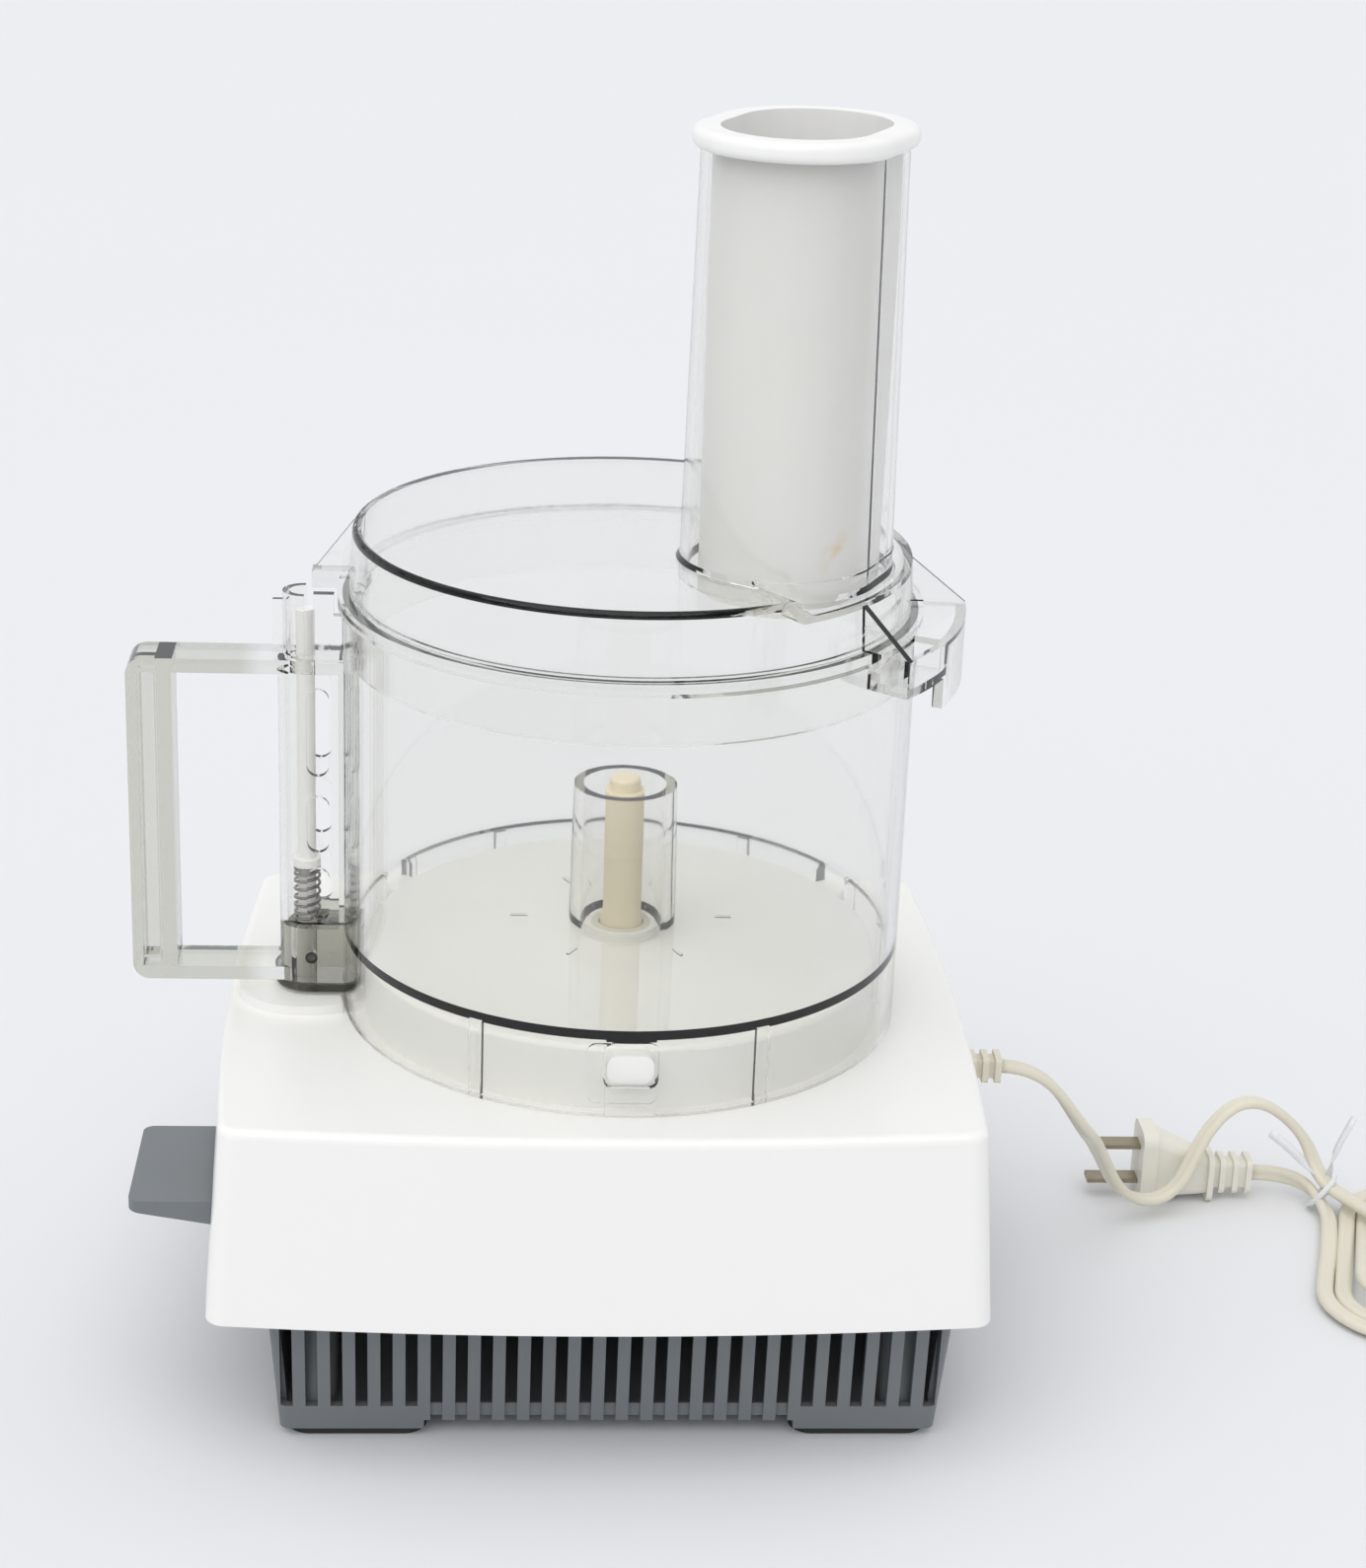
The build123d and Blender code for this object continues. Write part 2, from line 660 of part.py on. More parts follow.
def base_screws():
    """Four screws up through the tray's bosses into the housing's posts."""
    under = FOOT_H + CHANNEL_H
    screws = []
    for x, y in post_places():
        head_top = under + SCREW_HEAD_H
        screw = drum(SCREW_HEAD_R, under, head_top - FIT_GAP, x, y)
        screw += drum(SCREW_R, under, BOSS_TOP + SCREW_BITE, x, y)
        screws.append(screw - drum(SCREW_R / 2, under - CUT, under + SCREW_HEAD_H / 2, x, y))
    return screws


def motor_bracket(plate_z, legs_up):
    """Cast bracket: plate with a bearing cup and four legs to the core."""
    plate = RectangleRounded(STACK_W, STACK_W, STACK_CORNER_R)
    bracket = Pos(0, 0, plate_z) * extrude(plate, BRACKET_T)
    cup_z = plate_z + BRACKET_T / 2 - BEARING_H / 2
    cup_r = BEARING_R + FIT_GAP
    bracket += drum(cup_r + BEARING_SHELL, cup_z, cup_z + BEARING_H)
    bracket -= drum(cup_r, cup_z - CUT, cup_z + BEARING_H + CUT)
    leg_z = plate_z + BRACKET_T / 2 if legs_up else plate_z - LEG_H
    for x, y in four_corners(BOLT_SPREAD):
        bracket += drum(LEG_R, leg_z, leg_z + LEG_H + BRACKET_T / 2, x, y)
        bracket -= drum(BOLT_R + SLIDE_GAP, plate_z - LEG_H - CUT, plate_z + LEG_H + BRACKET_T + CUT, x, y)
    for i in range(4):
        vent = drum(VENT_R, plate_z - CUT, plate_z + BRACKET_T + CUT, VENT_AT)
        bracket -= Rot(0, 0, 90 * i) * vent
    return bracket


def bearing(plate_z):
    """Plain bearing pressed into a bracket's cup."""
    z = plate_z + BRACKET_T / 2 - BEARING_H / 2
    return ring(BEARING_R, SHAFT_R + RUN_GAP, z, z + BEARING_H)


def stator_core():
    """Stack of laminations with a round bore, open slots for the windings and bolt holes."""
    plate = RectangleRounded(STACK_W, STACK_W, STACK_CORNER_R)
    core = Pos(0, 0, STACK_Z) * extrude(plate, STACK_H)
    core -= drum(STATOR_BORE_R, STACK_Z - CUT, STACK_TOP + CUT)
    for x, y in four_corners(BOLT_SPREAD):
        core -= drum(BOLT_R + SLIDE_GAP, STACK_Z - CUT, STACK_TOP + CUT, x, y)
    return core


def stator_windings():
    """Two rings of coil heads, one on each face of the core."""
    inner = STATOR_BORE_R + WINDING_GAP
    low = ring(SLOT_OUTER_R, inner, STACK_Z - WINDING_H, STACK_Z)
    high = ring(SLOT_OUTER_R, inner, STACK_TOP, STACK_TOP + WINDING_H)
    coils = []
    for coil in (low, high):
        coils.append(fillet(coil.edges().filter_by(GeomType.CIRCLE), WINDING_H / 4))
    return coils


def motor_bolts():
    """Four long bolts through both brackets and the core into the housing's standoffs."""
    bolts = []
    for x, y in four_corners(BOLT_SPREAD):
        bolt = drum(BOLT_R, LOWER_BRACKET_Z - BOLT_HEAD_H / 2, UPPER_BRACKET_TOP + BOLT_BITE, x, y)
        head = extrude(RegularPolygon(BOLT_HEAD_R, 6), BOLT_HEAD_H)
        bolts.append(bolt + Pos(x, y, LOWER_BRACKET_Z - BOLT_HEAD_H) * head)
    return bolts


def rotor():
    """Squirrel-cage rotor with an end ring on each face."""
    bore = SHAFT_R + FIT_GAP
    core = ring(STATOR_BORE_R - AIR_GAP, bore, STACK_Z, STACK_TOP)
    core += ring(ROTOR_RING_R, bore, STACK_Z - ROTOR_RING_H, STACK_Z)
    return core + ring(ROTOR_RING_R, bore, STACK_TOP, STACK_TOP + ROTOR_RING_H)


def drive_shaft():
    """Steel shaft from the fan to the inside of the sheath."""
    shaft = drum(SHAFT_R, FAN_Z, SHAFT_TOP)
    return chamfer(shaft.edges().filter_by(GeomType.CIRCLE), SHAFT_R / 8)


def cooling_fan():
    """Moulded fan under the lower bracket."""
    bore = SHAFT_R + FIT_GAP
    fan = drum(FAN_R, FAN_Z, FAN_Z + FAN_PLATE_T) + drum(FAN_HUB_R, FAN_Z, FAN_Z + FAN_H)
    for i in range(FAN_BLADES):
        blade = block(FAN_HUB_R - CUT, FAN_R - CUT, -FAN_BLADE_T / 2, FAN_BLADE_T / 2, FAN_Z, FAN_Z + FAN_H)
        fan += Rot(0, 0, 360 / FAN_BLADES * i) * blade
    return fan - drum(bore, FAN_Z - CUT, FAN_Z + FAN_H + CUT)


def thrust_washer():
    """Washer between the fan's hub and the lower bearing."""
    bearing_low = LOWER_BRACKET_Z + BRACKET_T / 2 - BEARING_H / 2
    return ring(WASHER_R, SHAFT_R + RUN_GAP, FAN_Z + FAN_H + FIT_GAP, bearing_low - FIT_GAP)


def shaft_sheath():
    """Cream sleeve on the top of the shaft, with two flats that drive the tools."""
    low = SHEATH_TOP - SHEATH_BORE_H - SHEATH_TIP_H
    body = drum(SHEATH_R, low, SHEATH_TOP - SHEATH_TIP_H)
    tip = drum(SHEATH_TIP_R, SHEATH_TOP - SHEATH_TIP_H - CUT, SHEATH_TOP)
    body += fillet(tip.faces().sort_by(Axis.Z)[-1].edges(), SHEATH_TIP_R / 4)
    for side in (0, 180):
        flat = block(SHEATH_FLAT, SHEATH_R + CUT, -SHEATH_R, SHEATH_R, COLLAR_TOP + SEAL_H, SHEATH_TOP)
        body -= Rot(0, 0, side) * flat
    return body - drum(SHAFT_R + FIT_GAP, low - CUT, SHAFT_TOP + FIT_GAP)


def shaft_seal():
    """Rubber ring in the collar, just clear of the sheath."""
    return ring(SEAL_R - FIT_GAP, SHEATH_R + SLIDE_GAP, COLLAR_TOP - SEAL_H, COLLAR_TOP)


def run_capacitor():
    """Motor capacitor lying on the tray's floor."""
    can = Pos(CAP_X, 0, CAP_Z) * Rot(90, 0, 0) * Cylinder(CAP_R, CAP_L)
    return fillet(can.edges().filter_by(GeomType.CIRCLE), CAP_R / 10)


def capacitor_clip():
    """Strap over the capacitor, with a foot on each side."""
    inner = CAP_R + FIT_GAP
    outer = inner + CLIP_T
    lying = Pos(CAP_X, 0, CAP_Z) * Rot(90, 0, 0)
    strap = lying * Cylinder(outer, CLIP_W) - lying * Cylinder(inner, CLIP_W + CUT)
    strap -= block(CAP_X - 2 * outer, CAP_X + 2 * outer, -CLIP_W, CLIP_W, CAP_Z - 2 * outer, CAP_Z)
    half = CLIP_W / 2
    for side in (-1, 1):
        leg = sorted((CAP_X + side * inner, CAP_X + side * outer))
        foot = sorted((CAP_X + side * inner, CAP_X + side * (outer + CLIP_FOOT)))
        strap += block(*leg, -half, half, TRAY_FLOOR, CAP_Z)
        strap += block(*foot, -half, half, TRAY_FLOOR, TRAY_FLOOR + CLIP_T)
    return strap


def control_lever():
    """Grey paddle with its hub and the arm that works the switch."""
    tip = -LEVER_REACH
    root = -LEVER_AXIS_X
    y0 = LEVER_Y - LEVER_W / 2
    y1 = LEVER_Y + LEVER_W / 2
    outline = [
        (tip, LEVER_TOP),
        (tip, LEVER_TOP - LEVER_TIP_T),
        (root - LEVER_HUB_R, LEVER_TOP - LEVER_ROOT_T),
        (root, LEVER_TOP - LEVER_ROOT_T),
        (root, LEVER_TOP),
    ]
    paddle = slab(outline, y0, y1)
    paddle = fillet(paddle.edges().filter_by(Axis.Z).sort_by(Axis.X)[:2], LEVER_TIP_T)
    paddle += pivot_place() * Cylinder(LEVER_HUB_R, LEVER_W)
    nose_x = root + ARM_L
    arm_y = LEVER_Y - ARM_W / 2
    arm = block(root, nose_x, arm_y, arm_y + ARM_W, LEVER_AXIS_Z - ARM_NOSE_R, LEVER_AXIS_Z)
    paddle += arm + Pos(nose_x, LEVER_Y, LEVER_AXIS_Z) * Rot(90, 0, 0) * Cylinder(ARM_NOSE_R, ARM_W)
    return paddle - pivot_place() * Cylinder(PIVOT_R + RUN_GAP, LEVER_W + CUT)


def lever_pivot_pin():
    """Steel pin through the lever's hub and the housing's two lugs."""
    return pivot_place() * Cylinder(PIVOT_R, PIVOT_L)


def switch_button():
    """Button of the main switch, resting on the lever's arm."""
    low = LEVER_AXIS_Z + ARM_NOSE_R + SLIDE_GAP
    return drum(BUTTON_R, low, low + BUTTON_L, -LEVER_AXIS_X + ARM_L, LEVER_Y)


def main_switch():
    """Switch body hung under the deck above the lever's arm."""
    x = -LEVER_AXIS_X + ARM_L
    low = LEVER_AXIS_Z + ARM_NOSE_R + SLIDE_GAP + BUTTON_OUT
    high = DECK_Z - WALL - SWITCH_MOUNT_T
    y0 = LEVER_Y - SWITCH_W / 2
    body = block(x - SWITCH_L / 2, x + SWITCH_L / 2, y0, y0 + SWITCH_W, low, high)
    room = BUTTON_L + ARM_L * tan(radians(LEVER_SWING)) + CUT
    return body - drum(BUTTON_R + SLIDE_GAP, low - CUT, LEVER_AXIS_Z + ARM_NOSE_R + room, x, LEVER_Y)


def interlock_plunger():
    """Plunger in the deck that the bowl's push rod works."""
    head = drum(PLUNGER_R, PLUNGER_HEAD_Z, PLUNGER_TOP, -ROD_X)
    return head + drum(STEM_R, PLUNGER_HEAD_Z - STEM_L, PLUNGER_HEAD_Z, -ROD_X)


def interlock_switch():
    """Small switch under the plunger, on the housing's plate."""
    x = -ROD_X
    low = MICRO_TOP - MICRO_H
    body = block(x - MICRO_L / 2, x + MICRO_L / 2, -MICRO_W / 2, MICRO_W / 2, low, MICRO_TOP)
    deep = PLUNGER_HEAD_Z - STEM_L - ROD_TRAVEL - CUT
    return body - drum(STEM_R + SLIDE_GAP, deep, MICRO_TOP + CUT, x)


def coil_spring(radius, z0, z1, turns):
    """Compression spring on the rod's axis, as one tube along a helix."""
    rise = z1 - z0 - SPRING_WIRE - 2 * FIT_GAP
    path = Pos(-ROD_X, 0, z0 + SPRING_WIRE / 2 + FIT_GAP) * Helix(rise / turns, rise, radius)
    print("spring", turns, "turns, gap between turns", round(rise / turns - SPRING_WIRE, 2))
    return sweep((path ^ 0) * Circle(SPRING_WIRE / 2), path=path, is_frenet=True)


def interlock_spring():
    """Spring that lifts the plunger."""
    return coil_spring(PLUNGER_SPRING_R, MICRO_TOP, PLUNGER_HEAD_Z, PLUNGER_SPRING_TURNS)


def rod_spring():
    """Spring that lifts the push rod, under its collar."""
    return coil_spring(SPRING_R, COLUMN_FLOOR_Z, ROD_COLLAR_Z, SPRING_TURNS)


def work_bowl():
    """Clear bowl with its centre tube, skirt, handle and interlock column."""
    bowl = turned(
        (TUBE_IN_R, BOWL_UNDER),
        (SKIRT_IN_R, BOWL_UNDER),
        (SKIRT_IN_R, BOWL_BOTTOM),
        (BOWL_R, BOWL_BOTTOM),
        (BOWL_R, RIM_Z),
        (BOWL_IN_R, RIM_Z),
        (BOWL_IN_R, BOWL_FLOOR_Z),
        (TUBE_BASE_R, BOWL_FLOOR_Z),
        (TUBE_TOP_R, TUBE_TOP_Z),
        (TUBE_IN_R, TUBE_TOP_Z),
    )
    for i in range(RIB_COUNT):
        angle = LUG_ANGLES[0] + RIB_TURN + 360 / RIB_COUNT * (i + 0.5)
        rib_in = SKIRT_IN_R - RIB_D
        rib = block(rib_in, SKIRT_IN_R + CUT, -RIB_W / 2, RIB_W / 2, BOWL_BOTTOM, BOWL_UNDER + CUT)
        bowl += Rot(0, 0, angle) * rib
    for angle in LUG_ANGLES:
        turn = Rot(0, 0, angle)
        bowl += turn * window_rim()
        bowl -= turn * window_cut()
    for i in range(TICK_COUNT):
        tick_z = BOWL_FLOOR_Z - TICK_H
        tick = block(TICK_R, TICK_R + TICK_L, -TICK_W / 2, TICK_W / 2, tick_z, tick_z + 2 * TICK_H)
        bowl += Rot(0, 0, 360 / TICK_COUNT * i) * tick
    bowl += handle() - drum(BOWL_R - BOWL_WALL / 2, 0, COVER_TOP)
    bowl -= drum(ROD_R + SLIDE_GAP, HANDLE_BOTTOM - CUT, POST_TOP + CUT, -ROD_X)
    return bowl - cap_screw_shape(FIT_GAP)


def window_rim():
    """Raised edge round a bayonet window, on the X side of the skirt."""
    low = BOWL_BOTTOM + WINDOW_DROP
    middle = (BOWL_R - SKIRT_WALL / 2, -WINDOW_RIM / 2, (low + BOWL_UNDER) / 2)
    place = Plane(middle, x_dir=(0, 1, 0), z_dir=(1, 0, 0))
    face = RectangleRounded(WINDOW_W + WINDOW_RIM, BOWL_UNDER - low, LUG_CORNER_R)
    rim = extrude(place * face, SKIRT_WALL)
    return rim & ring(BOWL_R + WINDOW_RIM_H, SKIRT_IN_R, BOWL_BOTTOM, BOWL_UNDER)


def window_cut():
    """Window over a lug, and the groove inside the skirt that the lug rises through."""
    low = DECK_Z + LUG_LOW - SLIDE_GAP
    face = RectangleRounded(WINDOW_W, BOWL_UNDER - low, LUG_CORNER_R)
    place = Plane((SKIRT_IN_R - CUT, 0, (low + BOWL_UNDER) / 2), x_dir=(0, 1, 0), z_dir=(1, 0, 0))
    window = extrude(place * face, 2 * SKIRT_WALL + CUT)
    half = LUG_W / 2 + GROOVE_ROOM
    return window + block(SKIRT_IN_R - CUT, LUG_R + GROOVE_ROOM, -half, half, BOWL_BOTTOM - CUT, BOWL_UNDER)


def handle():
    """Loop handle, interlock column, rod guard, fin and stop, before the rod's bore is cut."""
    half = HANDLE_W / 2
    to_x = BOWL_R - BOWL_WALL
    length = HANDLE_REACH - to_x + HANDLE_CORNER_R
    loop = RectangleRounded(length, HANDLE_TOP - HANDLE_BOTTOM, HANDLE_CORNER_R)
    mid_x = -(HANDLE_REACH + to_x - HANDLE_CORNER_R) / 2
    mid_z = (HANDLE_TOP + HANDLE_BOTTOM) / 2
    grip = Pos(mid_x, half, mid_z) * extrude(Rot(90, 0, 0) * loop, HANDLE_W)
    bar_in = -HANDLE_REACH + HANDLE_BAR
    grip -= block(bar_in, 0, -half - CUT, half + CUT, HANDLE_BOTTOM + HANDLE_T, COLUMN_TOP)
    groove_x = -HANDLE_REACH + HANDLE_GROOVE_AT
    for side in (-1, 1):
        y0, y1 = sorted((side * HANDLE_WEB / 2, side * (half + CUT)))
        low = HANDLE_BOTTOM + HANDLE_T
        grip -= block(groove_x, groove_x + HANDLE_GROOVE_W, y0, y1, low, COLUMN_TOP)
    column = Pos(0, 0, HANDLE_BOTTOM) * extrude(column_outline(0, to_x), HANDLE_TOP - HANDLE_BOTTOM)
    hollow = column_outline(COLUMN_WALL, BOWL_R + COLUMN_WALL / 2)
    column -= Pos(0, 0, COLUMN_FLOOR_Z) * extrude(hollow, COLUMN_TOP - COLUMN_FLOOR_Z)
    for z0, z1 in COLUMN_SLOTS:
        face = Pos(-COLUMN_SLOT_X, 0, (z0 + z1) / 2) * Rot(90, 0, 0) * Rot(0, 0, 90)
        column -= extrude(face * SlotOverall(z1 - z0, COLUMN_SLOT_W), COLUMN_R + CUT, both=True)
    guard = ring(GUARD_R, GUARD_R - GUARD_T, HANDLE_TOP - CUT, POST_TOP, -ROD_X)
    guard -= block(-ROD_X, 0, -HANDLE_REACH, HANDLE_REACH, HANDLE_TOP - CUT, POST_TOP + CUT)
    guard_x = -ROD_X - GUARD_R
    fin = block(guard_x - FIN_OUT, guard_x + CUT, -FIN_T / 2, FIN_T / 2, HANDLE_TOP - CUT, FIN_TOP)
    stop_x = -BOWL_R - STOP_AT
    stop_in = stop_x - STOP_W
    stop = block(stop_in, stop_x, -STOP_FRONT, -STOP_FRONT + STOP_T, HANDLE_TOP - CUT, STOP_TOP)
    web = block(stop_in, -to_x, -STOP_FRONT, -STOP_FRONT + STOP_T, HANDLE_TOP - CUT, RIM_Z - STOP_T)
    return grip + column + guard + fin + stop + web


def handle_end_cap():
    """Smoky cap over the foot of the column, open to the handle and the bowl."""
    outline = column_outline(-ENDCAP_WALL - FIT_GAP, BOWL_IN_R)
    cap = Pos(0, 0, ENDCAP_BOTTOM) * extrude(outline, ENDCAP_TOP - ENDCAP_BOTTOM)
    cap = fillet(cap.faces().sort_by(Axis.Z)[0].edges(), ENDCAP_EDGE_R)
    cap -= drum(BOWL_R + FIT_GAP, 0, COVER_TOP)
    inside = Pos(0, 0, ENDCAP_BOTTOM + ENDCAP_FLOOR)
    cap -= inside * extrude(column_outline(-FIT_GAP, BOWL_IN_R), ENDCAP_TOP - ENDCAP_BOTTOM)
    half = HANDLE_W / 2 + FIT_GAP
    cap -= block(-HANDLE_REACH, -COLUMN_X, -half, half, HANDLE_BOTTOM - FIT_GAP, ENDCAP_TOP + CUT)
    cap -= drum(ROD_R + SLIDE_GAP, ENDCAP_BOTTOM - CUT, ENDCAP_TOP, -ROD_X)
    return cap - cap_screw_shape(FIT_GAP)


def cap_screw_place():
    """Where the screw's head lies in the cap's near wall."""
    return Pos(-CAP_SCREW_X, -COLUMN_R - ENDCAP_WALL, CAP_SCREW_Z) * Rot(-90, 0, 0)


def cap_screw_shape(grow=0.0):
    """Screw through the cap's near wall into the column, or its hole."""
    head = extrude(Circle(CAP_SCREW_HEAD_R + grow), CAP_SCREW_HEAD_H)
    return cap_screw_place() * (head + extrude(Circle(CAP_SCREW_R + grow), CAP_SCREW_L))


def cap_screw():
    """Recessed screw that holds the end cap."""
    return cap_screw_shape() - cap_screw_place() * extrude(Circle(CAP_SCREW_R), CAP_SCREW_HEAD_H / 2)


def push_rod():
    """White rod that the cover's tab pushes down the column."""
    rod = drum(ROD_R, ROD_BOTTOM, ROD_TOP, -ROD_X)
    return rod + drum(ROD_COLLAR_R, ROD_COLLAR_Z, ROD_COLLAR_Z + ROD_COLLAR_T, -ROD_X)


def cover_profile(inset):
    """Outline of the cover's cap above its flange, as (radius, height)."""
    top = COVER_TOP - inset
    return ((0, COVER_LOW), (COVER_FOOT_R - inset, COVER_LOW), (COVER_TOP_R - inset, top), (0, top))


def cover():
    """Clear cover: stepped cap, flange, inner skirt, feed tube and two locking tabs."""
    cap = turned(*cover_profile(0))
    cap = fillet(cap.faces().sort_by(Axis.Z)[-1].edges(), COVER_EDGE_R)
    sunken = ledge_room(LEDGE_IN_R, LEDGE_Z, 0)
    cap -= sunken
    cap += ring(COVER_FLANGE_R, COVER_SKIRT_R - COVER_SKIRT_T, COVER_LOW, COVER_FLANGE_TOP)
    inside = turned(*cover_profile(COVER_T))
    cap -= inside - ledge_room(LEDGE_IN_R - COVER_T, LEDGE_Z - COVER_T, degrees(COVER_T / COVER_TOP_R))
    cap += ring(COVER_SKIRT_R, COVER_SKIRT_R - COVER_SKIRT_T, COVER_SKIRT_Z, COVER_FLANGE_TOP)
    tube_low = LEDGE_Z - COVER_T
    foot = feed_outline(feed_half(tube_low), tube_low)
    tube = loft([foot, feed_outline(FEED_TOP_B, FEED_TOP)], ruled=True)
    bore_low = tube_low - CUT
    bore = loft(
        [
            feed_outline(feed_half(bore_low) - FEED_WALL, bore_low),
            feed_outline(feed_half(FEED_TOP + CUT) - FEED_WALL, FEED_TOP + CUT),
        ],
        ruled=True,
    )
    beads = (feed_bead(COVER_TOP) - sunken) + (feed_bead(LEDGE_Z) & ledge_room(LEDGE_IN_R, LEDGE_Z - CUT, 0))
    return cap + beads + locking_tab() + locking_wing() + tube - bore


def ledge_room(in_r, low, spare):
    """Room over the sunken part of the cover, with a ramp at each end."""
    room = sector(in_r, COVER_FLANGE_R, LEDGE_FROM - spare, LEDGE_TO + spare, low, COVER_TOP + CUT)
    for angle, way in ((LEDGE_FROM - spare, -1), (LEDGE_TO + spare, 1)):
        out = Vector(cos(radians(angle)), sin(radians(angle)), 0)
        end = (way * RAMP_L, low + LEDGE_DROP + FIT_GAP)
        ramp = Spline((0, low), end, tangents=((way, 0), (way, LEDGE_DROP / RAMP_L / 2)))
        back = Polyline(end, (end[0], COVER_TOP + CUT), (-way, COVER_TOP + CUT), (-way, low), (0, low))
        place = Plane(out * in_r, x_dir=(-out.Y, out.X, 0), z_dir=out)
        room += extrude(place * make_face([*ramp.edges(), *back.edges()]), COVER_FLANGE_R - in_r)
    return room


def feed_bead(z):
    """Bead round the foot of the feed tube at a height."""
    low = feed_outline(feed_half(z) + FEED_BEAD, z - FEED_BEAD / 2)
    return loft([low, feed_outline(feed_half(z), z + FEED_BEAD)], ruled=True)


def locking_tab():
    """Shelf with two gussets on the rear of the cover, an open box at its near end and a hook under it."""
    in_r = COVER_FOOT_R - COVER_T / 2
    low = COVER_FLANGE_TOP - TAB_T
    box_low = low - HOOK_DROP
    tab = sector(in_r, TAB_R, TAB_FROM, TAB_TO, low, COVER_FLANGE_TOP)
    tab += sector(COVER_FLANGE_R - TAB_RIB_T / 2, TAB_R, TAB_FROM, HOOK_BOX_TO, box_low, low + TAB_T / 2)
    wall = degrees(TAB_RIB_T / TAB_R)
    span = (TAB_FROM + wall, HOOK_BOX_TO - wall)
    mouth = (COVER_FLANGE_R + TAB_RIB_T, TAB_R - TAB_RIB_T)
    tab -= sector(*mouth, *span, box_low + TAB_RIB_T, COVER_FLANGE_TOP + CUT)
    foot = ((in_r, low), (TAB_R, low), (TAB_R, COVER_FLANGE_TOP))
    gusset = slab((*foot, (COVER_TOP_R, TAB_RIB_TOP), (in_r, TAB_RIB_TOP)), -TAB_RIB_T / 2, TAB_RIB_T / 2)
    edge = degrees(TAB_RIB_T / 2 / TAB_R)
    tab += Rot(0, 0, TAB_FROM + edge) * gusset
    tab += Rot(0, 0, TAB_TO - edge) * gusset
    span = (HOOK_LEG_FROM, HOOK_LEG_TO)
    return tab + sector(TAB_R - HOOK_LEG_T, TAB_R, *span, low - HOOK_LEG_DROP, low + TAB_T / 2)


def locking_wing():
    """Gusset and foot on the front of the cover that turn in over the push rod."""
    in_x = -COVER_TOP_R + COVER_T
    low = COVER_LOW - TAB_T / 2
    foot_top = low + WING_FOOT_H
    heel = ((in_x, low), (-WING_REACH, low), (-WING_REACH, foot_top))
    wing = slab((*heel, (-COVER_TOP_R, WING_TOP), (in_x, WING_TOP)), WING_Y, WING_Y + WING_T)
    foot = block(-WING_REACH, in_x, WING_Y, WING_Y + WING_FOOT_W, low, foot_top)
    wing += foot
    wing -= drum(BOWL_R + SLIDE_GAP, 0, COVER_LOW)
    return wing - drum(COVER_TOP_R - COVER_T / 2, 0, COVER_TOP)


def pusher():
    """White hollow pusher with a rolled rim that rests on the feed tube."""
    rim_low = FEED_TOP + SEAT_GAP
    rim_top = rim_low + PUSHER_RIM_H
    rim = extrude(feed_outline(PUSHER_RIM_B, rim_low), PUSHER_RIM_H)
    rim = fillet(rim.edges().filter_by(Plane.XY), PUSHER_RIM_R)
    base_b = PUSHER_B - PUSHER_BASE_SLIM
    cup = loft([feed_outline(base_b, PUSHER_BOTTOM), feed_outline(PUSHER_B, rim_low + CUT)], ruled=True)
    floor_z = PUSHER_BOTTOM + PUSHER_WALL
    mouth = feed_outline(PUSHER_B - PUSHER_WALL, rim_top + CUT)
    hollow = loft([feed_outline(base_b - PUSHER_WALL, floor_z), mouth], ruled=True)
    return rim + cup - hollow


def strain_relief():
    """Ribbed bush round the cord where it leaves the rear wall."""
    core_w = RELIEF_W - 2 * RELIEF_NECK
    core_h = RELIEF_H - 2 * RELIEF_NECK
    inner_x = RELIEF_WALL_X - WALL - SLIDE_GAP - RELIEF_FLANGE
    neck = block(inner_x, CORD_EXIT_X, -core_w / 2, core_w / 2, -core_h / 2, core_h / 2)
    flange_x = inner_x + RELIEF_FLANGE
    neck += block(inner_x, flange_x, -RELIEF_W / 2, RELIEF_W / 2, -RELIEF_H / 2, RELIEF_H / 2)
    step = (RELIEF_OUT - RELIEF_RIB_T - SLIDE_GAP) / (RELIEF_RIBS - 1)
    for i in range(RELIEF_RIBS):
        x = CORD_EXIT_X - RELIEF_RIB_T - step * i
        rib = RectangleRounded(RELIEF_W, RELIEF_H, RELIEF_NECK)
        neck += Pos(x, 0, 0) * extrude(Plane.YZ * rib, RELIEF_RIB_T)
    return Pos(0, RELIEF_Y, RELIEF_Z) * neck


